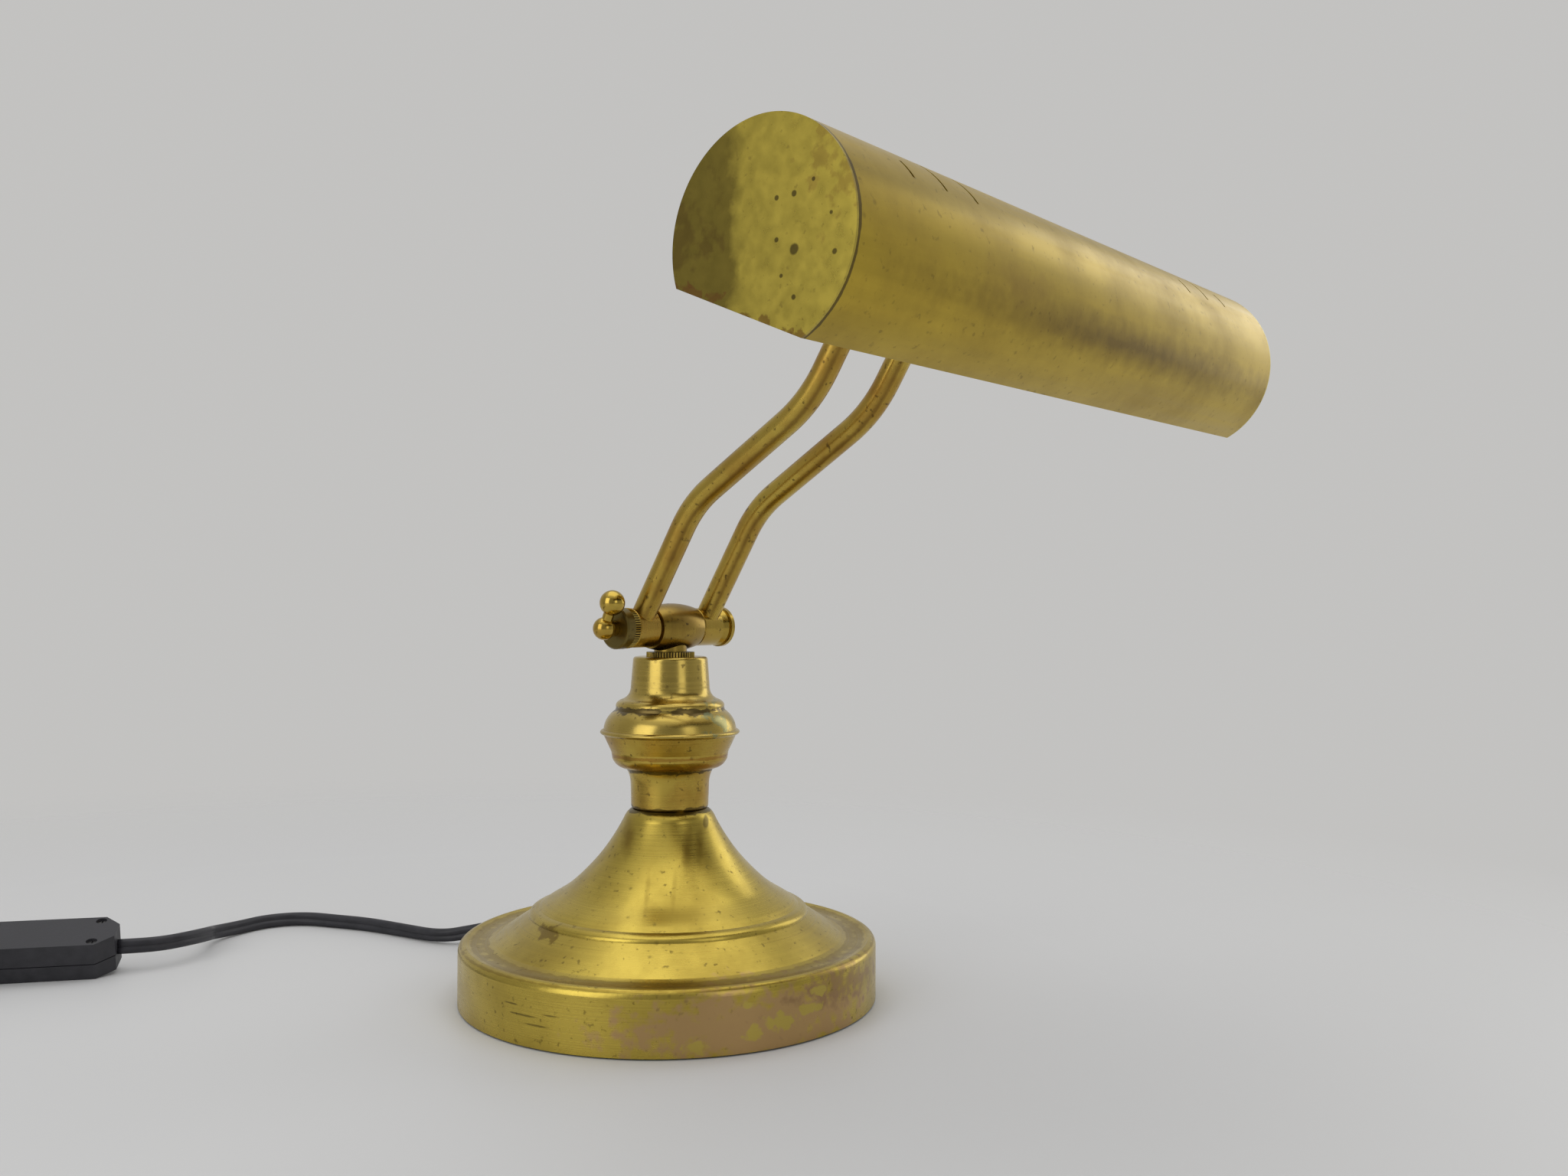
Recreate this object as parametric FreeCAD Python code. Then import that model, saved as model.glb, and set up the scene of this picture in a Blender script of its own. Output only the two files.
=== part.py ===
import FreeCAD, Part
import math
import os

# Piano lamp: spun brass base and column, two bent arm tubes, a tilting half-round shade.
# Millimetres. Origin: centre of the base on the table. +Z up, +X along the shade, -Y forward.

V = FreeCAD.Vector

# Base: spun sheet over a cast weight, felt underneath
base_radius = 90.0
base_wall = 1.0
skirt_bottom = 0.7
rim_top = 26.0
rim_round = 3.2
groove_inset = 6.0
groove_drop = 0.7
trough_depth = 0.3
slope_foot_inset = 15.0
slope_foot_rise = 1.0
# Low ridge round the foot of the cone
step_radius = 60.3
step_foot_height = 36.1
step_height = 3.3
step_inset = 4.1
# Its rounding: shares of its inset and of its height
step_round = ((0.05, 0.33), (0.37, 0.73))
cone_top_radius = 20.0
cone_top_height = 76.6
# Concave cone: share of its height, and share of its narrowing still to come there
cone_sweep = ((0.05, 0.93), (0.18, 0.71), (0.375, 0.475), (0.572, 0.287), (0.786, 0.127))
shoulder_drop = 1.6
shoulder_radius = 16.4
shoulder_height = 80.9
felt_thickness = 2.0
felt_inset = 1.6
weight_thickness = 14.0
weight_inset = 5.0
weight_bevel = 3.0
weight_boss_radius = 22.0
weight_boss_height = 32.0
weight_pocket_radius = 13.0
weight_pocket_height = 26.0
cord_channel_width = 9.5

# Hollow threaded rod that clamps base and column
rod_radius = 5.0
rod_bore = 3.5
rod_bottom = 17.5
rod_top = 138.0
nut_flats = 15.0
nut_height = 5.5
washer_radius = 10.5
washer_thickness = 1.5
fit_gap = 0.05
face_gap = 0.1

# Column: two spun shells that meet at a ridge
column_wall = 0.9
rim_width = 3.0
collar_radius = 16.8
collar_height = 10.0
flare_radius = 19.0
flare_height = 98.4
flare_turn = 2.4
bead_flare = 0.5
lower_bead_radius = 25.0
lower_bead_height = 102.6
lower_bead_top = 105.6
bowl_radius = 28.9
ridge_height = 114.1
ridge_radius = 30.4
ridge_thickness = 2.3
upper_bead_height = 126.0
upper_bead_radius = 23.4
upper_neck_height = 134.0
bowl_start_inset = 1.0
bowl_start_rise = 3.84
bead_top_inset = 2.88
bead_brow_rise = 1.68
neck_sweep_rise = 4.08
neck_radius = 17.2
neck_top_radius = 16.3
column_top = 146.8
top_round = 1.4
plug_height = 11.0

# Knurled lock nuts under the two knuckles
lock_nut_radius = 10.5
lock_nut_height = 2.0
knurl_depth = 0.45
knurl_count = 50

# Knuckles, hubs and cross bolts, alike at both ends of the arms
pivot_height = 159.5
knuckle_radius = 10.5
knuckle_end_radius = 8.9
knuckle_half = 12.6
knuckle_cavity_radius = 6.6
knuckle_cavity_half = 9.0
knuckle_boss_radius = 7.2
stem_radius = 5.0
stem_bore = 3.2
stem_reach = 8.0
bolt_radius = 3.0
bolt_fit = 0.06
friction_washer_thickness = 0.7
friction_washer_radius = 7.2
hub_radius = 8.4
hub_length = 12.6
hub_edge = 0.7
arm_offset = 0.4
knurled_ring_length = 3.2
knurled_ring_radius = 8.6
cap_length = 7.2
cap_neck_length = 2.9
cap_radius = 9.0
cap_neck_radius = 7.6
cap_edge = 1.0
cap_groove = 0.7
cap_groove_side = 0.35
cap_groove_depth = 1.2
bolt_end_depth = 1.5

# Clamp key: dark round nut with a ball lever
key_nut_length = 4.4
key_nut_radius = 8.8
key_hub_ball = 4.8
key_end_ball = 5.3
key_lever_radius = 2.3
key_lever_length = 11.7
key_lever_lean = 24.0
key_neck_length = 5.5
key_neck_radius = 3.4
key_neck_seat = 1.4

# Arm tubes: outer radius, wall, bend points (y, z) and bend radii
arm_radius = 5.1
arm_wall = 1.0
bend_low = (-32.7, 211.1)
bend_high = (-94.1, 247.8)
bend_low_radius = 48.0
bend_high_radius = 59.0
arm_lead_radius = 1.5

# Shade: part of a cylinder with flat ends, hung from the upper knuckle
shade_y = -176.5
shade_z = 272.3
shade_radius = 33.6
shade_wall = 0.8
shade_length = 291.0
shade_tilt = 23.0
shade_half_arc = 130.9
shade_reach = 57.0
end_wall = 0.8
end_lip = 5.0
end_lip_gap = 0.1
slit_width = 1.1
slit_spacing = 17.0
slit_centre = 94.0
slit_front_angle = 33.0
slit_long_angle = -18.0
slit_short_angle = 20.0
collar_foot_radius = 11.0
collar_neck_radius = 8.2
collar_foot = 3.0
stem_inside = 24.0

# Lampholders and tubular lamps inside the shade
lamp_rise = 6.0
bracket_thickness = 1.5
bracket_half_width = 9.2
bracket_rise = 16.0
holder_edge = 1.0
holder_nose = 2.0
holder_radius = 13.5
holder_length = 40.0
holder_socket_radius = 7.3
holder_socket_depth = 24.0
lamp_cap_radius = 6.9
lamp_cap_length = 22.0
lamp_cap_nose = 3.0
lamp_radius = 12.4
lamp_length = 80.0
lamp_gap = 0.3
lead_radius = 1.2
lead_spread = 9.0

# Flat two-core cord, standing on its narrow edge
cord_width = 6.8
cord_thickness = 3.8
cord_floor = 3.45
cord_exit_height = 8.6
grommet_radius = 5.6
grommet_flange_radius = 7.6
grommet_flange = 1.5
grommet_length = 26.0
grommet_tip_radius = 4.7
grommet_ring = 1.5
grommet_ring_rise = 0.9
lead_sheath_radius = 3.0
lead_bend = 9.0
# Each arc of a route takes this share of its shorter run
run_share = 0.45
# Route behind the lamp, centre of the cord; its ends run straight out of the strain relief and the switch
cord_route = (
    (-2.9, 134.3, 6.2), (-12.7, 146.2, 3.7), (-16.2, 173.9, 3.45), (-20.3, 197.2, 3.5), (-26.9, 215.0, 3.45),
    (-34.3, 234.3, 3.5), (-50.4, 243.6, 3.45), (-68.6, 240.9, 3.45), (-85.1, 234.5, 5.0), (-94.2, 219.5, 8.6),
    (-108.8, 208.4, 11.0), (-122.3, 206.4, 11.4))
cord_start_run = 9.4
cord_end_run = 9.9
# Routes from the switch to the coil and from the coil to the plug: distance along, aside, share of the fall
lead_in = ((10.0, 0.0, 0.0), (19.0, 0.5, 0.25), (28.0, -0.5, 0.74), (36.5, 0.0, 1.0))
lead_in_length = 46.0
lead_out = ((9.0, 0.0, 0.0), (18.0, -1.5, 0.12), (28.0, -1.5, 0.75), (37.0, 0.0, 1.0))
lead_out_length = 46.0

# Inline switch, lying face down and leaning on its rocker
switch_length = 62.0
switch_width = 26.0
switch_height = 17.0
switch_seam = 7.2
switch_seam_gap = 0.4
switch_taper = 7.0
switch_tip_width = 11.0
switch_wall = 1.8
switch_tip = (-140.3, 215.0)
switch_heading = -36.87
switch_roll = 15.2
screw_inset = 8.6
screw_side = 9.4
screw_head_radius = 2.3
screw_head_height = 1.6
screw_depth = 3.0
screw_radius = 1.4
screw_slot = 0.7
screw_post_radius = 3.4
terminal_length = 9.0
terminal_width = 7.0
terminal_height = 3.0
rocker_length = 17.0
rocker_width = 10.0
rocker_lean = 6.0
rocker_gap = 0.3
rocker_rise = 0.15
rocker_pin_radius = 1.2
rocker_pin_length = 1.6
rocker_pin_height = 3.0
rocker_back = 2.0
lug_thickness = 2.2

# Coil of spare cord, put away beyond the switch; angles from +X, turns are counted per layer
coil_outer = 46.0
coil_pitch = 4.5
coil_layer = 7.4
coil_start = 53.13
coil_turns = 2.676
coil_steps = 4

# Flat two-pin plug
plug_length = 35.5
plug_width = 26.0
plug_tail_width = 13.0
plug_tail_length = 14.0
plug_thickness = 13.7
plug_edge = 2.0
plug_pin_radius = 2.0
plug_pin_length = 19.0
plug_pin_seat = 6.0
plug_pin_spacing = 18.6


# Helpers for solids and placing

def at(shape, x=0.0, y=0.0, z=0.0):
    shape.translate(V(x, y, z))
    return shape


def rod_x(radius, start, end, y=0.0, z=0.0):
    """Cylinder along X from start to end."""
    return Part.makeCylinder(radius, end - start, V(start, y, z), V(1, 0, 0))


def rod_y(radius, start, end, x=0.0, z=0.0):
    """Cylinder along Y from start to end."""
    return Part.makeCylinder(radius, end - start, V(x, start, z), V(0, 1, 0))


def rod_z(radius, low, high, x=0.0, y=0.0):
    """Cylinder along Z from low to high."""
    return Part.makeCylinder(radius, high - low, V(x, y, low), V(0, 0, 1))


def block(x0, x1, y0, y1, z0, z1):
    return Part.makeBox(x1 - x0, y1 - y0, z1 - z0, V(x0, y0, z0))


def curve_through(points):
    """Straight edge through two points, smooth edge through more."""
    if len(points) == 2:
        return Part.makeLine(points[0], points[1])
    spline = Part.BSplineCurve()
    spline.interpolate(points)
    return spline.toShape()


def turned(stretches, axis=V(0, 0, 1)):
    """Solid of revolution of a closed outline of (radius, height) stretches about Z or X."""
    def spot(point):
        radius, height = point
        return V(radius, 0, height) if axis.z else V(height, 0, radius)
    edges = [curve_through([spot(point) for point in stretch]) for stretch in stretches]
    face = Part.Face(Part.Wire(edges))
    return solid(face.revolve(V(0, 0, 0), axis, 360))


def outline(points):
    """Stretches of a closed outline with straight sides."""
    return [[a, b] for a, b in zip(points, points[1:] + points[:1])]


def solid(shape):
    """The shape's own solid, facing outwards."""
    found = shape.Solids[0] if len(shape.Solids) == 1 else shape
    if found.Volume < 0:
        found.reverse()
    return found


def unit(a, b):
    length = math.hypot(b[0] - a[0], b[1] - a[1])
    return (b[0] - a[0]) / length, (b[1] - a[1]) / length


def inner_side(stretches, wall):
    """The same stretches moved inwards by the wall, mitred at their corners."""
    points = []
    for stretch in stretches:
        points += stretch if not points else stretch[1:]
    moved = {}
    for index, point in enumerate(points):
        before = unit(points[max(index - 1, 0)], points[max(index, 1)])
        after = unit(points[min(index, len(points) - 2)], points[min(index + 1, len(points) - 1)])
        normal = (before[1] + after[1], -before[0] - after[0])
        share = wall / (1.0 + before[0] * after[0] + before[1] * after[1])
        moved[point] = (point[0] - normal[0] * share, point[1] - normal[1] * share)
    return [[moved[point] for point in stretch] for stretch in stretches]


def spun_sheet(stretches, wall):
    """Sheet of even wall spun about Z, its outer face on the stretches from bottom to top."""
    inner = inner_side(stretches, wall)
    back = [stretch[::-1] for stretch in inner[::-1]]
    ends = [[stretches[-1][-1], back[0][0]], [back[-1][-1], stretches[0][0]]]
    return turned(stretches + [ends[0]] + back + [ends[1]])


def mirrored(shape, side):
    """The shape itself on the right, its mirror image on the left."""
    return shape if side > 0 else shape.mirror(V(0, 0, 0), V(1, 0, 0))


def hexagon(flats, low, high):
    """Six-sided nut blank along Z."""
    corner = flats / 2 / math.cos(math.radians(30))
    points = [V(corner * math.cos(math.radians(60 * k)), corner * math.sin(math.radians(60 * k)), low)
              for k in range(7)]
    return Part.Face(Part.makePolygon(points)).extrude(V(0, 0, high - low))


def knurled_disc(radius, low, high):
    """Disc along Z with straight knurling."""
    points = []
    for k in range(2 * knurl_count + 1):
        reach = radius if k % 2 else radius - knurl_depth
        angle = math.pi * k / knurl_count
        points.append(V(reach * math.cos(angle), reach * math.sin(angle), low))
    return Part.Face(Part.makePolygon(points)).extrude(V(0, 0, high - low))


def pointing(shape, direction):
    """Turn a shape that was made along +Z towards the direction."""
    shape.Placement = FreeCAD.Placement(V(0, 0, 0), FreeCAD.Rotation(V(0, 0, 1), direction))
    return shape


def write(name, shapes):
    """Write one solid, or several separate ones, as a part file."""
    shapes = shapes if isinstance(shapes, list) else [shapes]
    bodies = [body for shape in shapes for body in shape.Solids]
    for body in bodies:
        assert body.isValid(), name
    whole = bodies[0] if len(bodies) == 1 else Part.makeCompound(bodies)
    whole.exportStep("parts/" + name + ".step")
    print(name, len(bodies), round(sum(body.Volume for body in bodies), 1))


def write_placed(pieces, place):
    """Write each named piece, one solid or a list, once place has put it where it belongs."""
    for name, shape in pieces:
        shapes = shape if isinstance(shape, list) else [shape]
        write(name, [place(item) for item in shapes])


# Routes made of straight runs joined by tangent arcs

def unit_vector(vector):
    copy = V(vector)
    copy.normalize()
    return copy


def rounded_route(points, radii=None):
    """Wire along the points; without given radii each arc is as large as its runs allow."""
    corners = []
    for index in range(1, len(points) - 1):
        back = points[index - 1] - points[index]
        onward = points[index + 1] - points[index]
        shorter = min(back.Length, onward.Length)
        turn = math.pi - back.getAngle(onward)
        radius = radii[index - 1] if radii else run_share * shorter / math.tan(turn / 2)
        reach = radius * math.tan(turn / 2)
        back.normalize()
        onward.normalize()
        middle = back + onward
        middle.normalize()
        depth = radius / math.cos(turn / 2) - radius
        corner = points[index]
        corners.append((corner + back * reach, corner + middle * depth, corner + onward * reach, radius))
    edges = []
    start = points[0]
    for enter, middle, leave, radius in corners:
        edges.append(Part.makeLine(start, enter))
        edges.append(Part.Arc(enter, middle, leave).toShape())
        start = leave
    edges.append(Part.makeLine(start, points[-1]))
    return Part.Wire(edges), [corner[3] for corner in corners]


def round_section(start, direction, radius):
    return Part.Wire([Part.makeCircle(radius, start, direction)])


def flat_section(start, direction):
    """Cord section with its width upright and its thickness level, both edges round."""
    level = direction.cross(V(0, 0, 1))
    level.normalize()
    upright = level.cross(direction)
    upright.normalize()
    half = (cord_width - cord_thickness) / 2
    side = cord_thickness / 2
    top_left = start + upright * half - level * side
    top_right = start + upright * half + level * side
    low_right = start - upright * half + level * side
    low_left = start - upright * half - level * side
    crown = start + upright * (half + side)
    sole = start - upright * (half + side)
    return Part.Wire([Part.Arc(top_left, crown, top_right).toShape(), Part.makeLine(top_right, low_right),
                      Part.Arc(low_right, sole, low_left).toShape(), Part.makeLine(low_left, top_left)])


def swept(path, section):
    return solid(path.makePipeShell([section], True, False))


def flat_cord(points):
    """Flat cord along points, its bend radii, its length and its volume against section by length."""
    path, radii = rounded_route(points)
    cord = swept(path, flat_section(points[0], points[1] - points[0]))
    straight = cord_thickness * (cord_width - cord_thickness)
    area = straight + math.pi * cord_thickness ** 2 / 4
    share = cord.Volume / (area * path.Length)
    print("cord length", round(path.Length, 1), "radii", [round(r, 1) for r in radii],
          "volume", round(share, 4))
    return cord


def biarc(start, start_way, end, end_way):
    """Two arcs from start to end that meet both directions."""
    span = end - start
    both = start_way + end_way
    a = both.dot(both) - 4.0
    b = span.dot(both)
    c = span.dot(span)
    reach = c / (2 * b) if abs(a) < 1e-9 else (-b + math.sqrt(b * b - a * c)) / a
    reach = abs(reach)
    first = start + start_way * reach
    last = end - end_way * reach
    joint = (first + last) * 0.5
    edges = []
    for p, tip, q in ((start, first, joint), (joint, last, end)):
        chord = (p + q) * 0.5
        height = (tip - chord).Length
        half = (q - p).Length / 2
        sagitta = half * (math.hypot(half, height) - half) / height
        toward = tip - chord
        toward.normalize()
        edges.append(Part.Arc(p, chord + toward * sagitta, q).toShape())
    return edges


# Base and column

def rounded_top(radius, top, size):
    """Outer corner that rises from an upright wall to a flat top."""
    turn = size * (1 - math.sqrt(0.5))
    return [(radius, top - size), (radius - turn, top - turn), (radius - size, top)]


def base_shell():
    """Spun cover: skirt, rounded rim, shallow trough, straight slope, low ridge and concave cone."""
    rim = rounded_top(base_radius, rim_top, rim_round)
    groove = (base_radius - groove_inset, rim_top - groove_drop)
    slope_foot = (base_radius - slope_foot_inset, groove[1] + slope_foot_rise)
    trough = ((groove[0] + slope_foot[0]) / 2, groove[1] - trough_depth)
    step_foot = (step_radius, step_foot_height)
    ridge = [(step_radius - step_inset * inward, step_foot_height + step_height * up)
             for inward, up in step_round]
    cone_foot = (step_radius - step_inset, step_foot_height + step_height)
    cone = [cone_foot]
    for share, left in cone_sweep:
        height = cone_foot[1] + (cone_top_height - cone_foot[1]) * share
        cone.append((cone_top_radius + (cone_foot[0] - cone_top_radius) * left, height))
    cone.append((cone_top_radius, cone_top_height))
    shoulder_middle = (cone_top_radius - shoulder_drop, shoulder_height - shoulder_drop)
    shell = spun_sheet([
        [(base_radius, skirt_bottom), rim[0]],
        rim,
        [rim[-1], groove],
        [groove, trough, slope_foot],
        [slope_foot, step_foot],
        [step_foot] + ridge + [cone_foot],
        cone,
        [cone[-1], shoulder_middle, (shoulder_radius, shoulder_height)],
        [(shoulder_radius, shoulder_height), (rod_radius + fit_gap, shoulder_height)],
    ], base_wall)
    exit_hole = rod_y(grommet_radius + fit_gap, base_radius - weight_inset, base_radius + base_wall,
                      z=cord_exit_height)
    return shell.cut(exit_hole)


def base_weight():
    rim = base_radius - weight_inset
    top = felt_thickness + weight_thickness
    weight = turned(outline([
        (weight_pocket_radius, felt_thickness), (rim, felt_thickness), (rim, top - weight_bevel),
        (rim - weight_bevel, top), (weight_boss_radius + weight_bevel, top),
        (weight_boss_radius, top + weight_bevel),
        (weight_boss_radius, weight_boss_height), (rod_radius + fit_gap, weight_boss_height),
        (rod_radius + fit_gap, weight_pocket_height), (weight_pocket_radius, weight_pocket_height)]))
    half = cord_channel_width / 2
    channel = block(-half, half, 0, base_radius, felt_thickness, cord_exit_height + half)
    return weight.cut(channel)


def ridge_low():
    return ridge_height - ridge_thickness / 2


def quarter_round(radius, low, size):
    """Outer corner that rises from a flat bottom at low to an upright wall."""
    turn = size * (1 - math.sqrt(0.5))
    return [(radius - size, low), (radius - turn, low + turn), (radius, low + size)]


def column_lower_shell():
    """Spun bowl with in-turned flat rims: it stands on the base's shoulder and carries the upper bowl."""
    low = shoulder_height
    neck_high = low + collar_height
    bead_side = (lower_bead_radius + bead_flare, lower_bead_top)
    rim = (bowl_radius, ridge_low())
    return spun_sheet([
        [(collar_radius - top_round - rim_width, low), (collar_radius - top_round, low)],
        quarter_round(collar_radius, low, top_round),
        [(collar_radius, low + top_round), (collar_radius + bead_flare / 2, neck_high)],
        [(collar_radius + bead_flare / 2, neck_high),
         ((collar_radius + flare_radius) / 2, flare_height - flare_turn),
         (flare_radius, flare_height)],
        [(flare_radius, flare_height), (lower_bead_radius - flare_turn, flare_height + flare_turn / 2),
         (lower_bead_radius, lower_bead_height)],
        [(lower_bead_radius, lower_bead_height), bead_side],
        [bead_side, rim],
        [rim, (bowl_radius - rim_width, rim[1])],
    ], column_wall)


def column_upper_shell():
    low = ridge_low()
    high = low + ridge_thickness
    notch = (upper_bead_radius + bead_flare, upper_bead_height - flare_turn)
    bead_low = (upper_bead_radius + bead_flare / 3, upper_bead_height - flare_turn / 2)
    bead_top = (upper_bead_radius - bead_top_inset, upper_bead_height + flare_turn)
    neck_low = (neck_radius, upper_neck_height)
    top = rounded_top(neck_top_radius, column_top, top_round)
    shell = spun_sheet([
        [(bowl_radius - rim_width, low), (bowl_radius, low)],
        [(bowl_radius, low), (bowl_radius, high)],
        [(bowl_radius, high), (bowl_radius - bowl_start_inset, high + bowl_start_rise), notch],
        [notch, bead_low],
        [bead_low, (upper_bead_radius, upper_bead_height + bead_flare),
         (upper_bead_radius - flare_turn / 2, upper_bead_height + bead_brow_rise), bead_top],
        [bead_top, (neck_radius + flare_turn / 2, upper_bead_height + neck_sweep_rise), neck_low],
        [neck_low, top[0]],
        top,
        [top[-1], (stem_radius + fit_gap, column_top)],
    ], column_wall)
    bead = ridge_radius - ridge_thickness / 2
    inner = bowl_radius - column_wall / 2
    ridge = turned([[(inner, low), (bead, low)],
                    [(bead, low), (ridge_radius, ridge_height), (bead, high)],
                    [(bead, high), (inner, high)],
                    [(inner, high), (inner, low)]])
    return shell.fuse(ridge).removeSplitter()


def column_plug():
    """Turned disc in the neck: the rod screws into it from below, the knuckle's stem from above."""
    top = column_top - column_wall
    low = top - plug_height
    rim = neck_top_radius - column_wall - fit_gap * 2
    plug = rod_z(rim, low, top - top_round).fuse(rod_z(rim - top_round, top - top_round, top))
    return plug.removeSplitter().cut(rod_z(stem_radius + fit_gap, low, top))


def base_parts():
    write("base_shell", base_shell())
    write("base_weight", base_weight())
    write("base_felt", rod_z(base_radius - felt_inset, 0, felt_thickness - face_gap / 2))
    write("center_rod", rod_z(rod_radius, rod_bottom, rod_top).cut(rod_z(rod_bore, rod_bottom, rod_top)))
    bore = rod_z(rod_radius + fit_gap, rod_bottom, rod_top)
    washer_low = weight_pocket_height - washer_thickness
    write("rod_washer", rod_z(washer_radius, washer_low, weight_pocket_height).cut(bore))
    write("rod_nut", hexagon(nut_flats, washer_low - nut_height, washer_low).cut(bore))
    write("column_lower_shell", column_lower_shell())
    write("column_upper_shell", column_upper_shell())
    write("column_plug", column_plug())
    nut = knurled_disc(lock_nut_radius, column_top, column_top + lock_nut_height)
    write("lock_nut", nut.cut(rod_z(stem_radius + fit_gap, column_top, column_top + lock_nut_height)))


# Knuckles, hubs, bolts and caps around a pivot at the origin, their axis along X

def knuckle(neck):
    """Hollow barrel with a stem downwards; neck is the distance from the axis to the stem's end."""
    barrel = turned([[(0, -knuckle_half), (knuckle_end_radius, -knuckle_half)],
                     [(knuckle_end_radius, -knuckle_half), (knuckle_radius, 0),
                      (knuckle_end_radius, knuckle_half)],
                     [(knuckle_end_radius, knuckle_half), (0, knuckle_half)],
                     [(0, knuckle_half), (0, -knuckle_half)]], V(1, 0, 0))
    boss = rod_z(knuckle_boss_radius, -knuckle_radius, 0)
    stem = rod_z(stem_radius, -neck, 0)
    body = barrel.fuse(boss).fuse(stem)
    cavity = rod_x(knuckle_cavity_radius, -knuckle_cavity_half, knuckle_cavity_half)
    bore = rod_x(bolt_radius + bolt_fit, -knuckle_half, knuckle_half)
    return body.cut(cavity).cut(bore).cut(rod_z(stem_bore, -neck, 0))


def hub_start():
    return knuckle_half + friction_washer_thickness + face_gap


def friction_washers():
    start = knuckle_half + face_gap
    washer = rod_x(friction_washer_radius, start, start + friction_washer_thickness)
    washer = washer.cut(rod_x(bolt_radius + bolt_fit, 0, hub_start() + hub_length))
    return [washer, mirrored(washer, -1)]


def hub(side):
    start = hub_start()
    body = turned(outline([(bolt_radius + bolt_fit, start), (hub_radius - hub_edge, start),
                           (hub_radius, start + hub_edge), (hub_radius, start + hub_length - hub_edge),
                           (hub_radius - hub_edge, start + hub_length),
                           (bolt_radius + bolt_fit, start + hub_length)]), V(1, 0, 0))
    return mirrored(body, side)


def bolt_cap(side):
    """Stepped round cap outside a hub: short cone, groove and rounded flange."""
    start = hub_start() + hub_length
    neck_end = start + cap_neck_length
    groove = neck_end + cap_groove_side
    flange = groove + cap_groove + cap_groove_side
    bottom = cap_radius - cap_groove_depth
    end = start + cap_length
    cap = turned(outline([(0, start), (cap_neck_radius, start), (cap_radius - cap_edge / 2, neck_end),
                          (bottom, groove), (bottom, groove + cap_groove), (cap_radius, flange),
                          (cap_radius, end - cap_edge), (cap_radius - cap_edge, end), (0, end)]), V(1, 0, 0))
    cap = cap.cut(rod_x(bolt_radius + fit_gap, start, end - bolt_end_depth))
    return mirrored(cap, side)


def knurled_ring():
    """Knurled ring between the left hub and the clamp key."""
    start = hub_start() + hub_length
    ring = knurled_disc(knurled_ring_radius, start, start + knurled_ring_length)
    ring = ring.cut(rod_z(bolt_radius + bolt_fit, start, start + knurled_ring_length))
    return pointing(ring, V(-1, 0, 0))


def key_start():
    return hub_start() + hub_length + knurled_ring_length + face_gap


def key_nut():
    start = key_start()
    end = start + key_nut_length
    nut = turned(outline([(bolt_radius + bolt_fit, -start), (key_nut_radius, -start),
                          (key_nut_radius, -end + hub_edge), (key_nut_radius - hub_edge, -end),
                          (key_neck_radius + fit_gap, -end),
                          (key_neck_radius + fit_gap, -end + key_neck_seat),
                          (bolt_radius + bolt_fit, -end + key_neck_seat)]), V(1, 0, 0))
    return nut


def clamp_key():
    """Ball on the bolt's axis, a short lever leaning forward and a ball at its end."""
    end = key_start() + key_nut_length
    hub_x = -(end + key_neck_length)
    lean = math.radians(key_lever_lean)
    way = V(0, -math.sin(lean), math.cos(lean))
    centre = V(hub_x, 0, 0)
    key = Part.makeSphere(key_hub_ball, centre)
    key = key.fuse(Part.makeCylinder(key_lever_radius, key_lever_length, centre, way))
    key = key.fuse(Part.makeSphere(key_end_ball, centre + way * key_lever_length))
    return key.fuse(rod_x(key_neck_radius, hub_x, -end + key_neck_seat - face_gap / 2))


# Arms

def arm_points():
    pivot = shade_spot(0, shade_reach, 0)
    return [V(0, 0, pivot_height), V(0, *bend_low), V(0, *bend_high), pivot]


def arm_x():
    return hub_start() + hub_length / 2 + arm_offset


def arm_tube(side):
    """Bent tube from the lower hub to the upper hub, its ends cut to the round of the hubs."""
    path = rounded_route(arm_points(), [bend_low_radius, bend_high_radius])[0]
    points = arm_points()
    way = points[1] - points[0]
    outer = swept(path, round_section(points[0], way, arm_radius))
    inner = swept(path, round_section(points[0], way, arm_radius - arm_wall))
    tube = outer.cut(inner)
    for end in (points[0], points[-1]):
        tube = tube.cut(rod_x(hub_radius, -hub_length, hub_length, end.y, end.z))
    return at(solid(tube), x=side * arm_x())


def arm_lead():
    """Lead through the left arm tube, resting along its outer side."""
    points = arm_points()
    start = points[0] + unit_vector(points[1] - points[0]) * (hub_radius + fit_gap * 4)
    end = points[-1] + unit_vector(points[-2] - points[-1]) * (hub_radius + fit_gap * 4)
    path = rounded_route([start, points[1], points[2], end], [bend_low_radius, bend_high_radius])[0]
    lead = swept(path, round_section(start, points[1] - points[0], arm_lead_radius))
    aside = arm_radius - arm_wall - arm_lead_radius - lamp_gap
    return at(lead, x=-arm_x() - aside)


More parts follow.
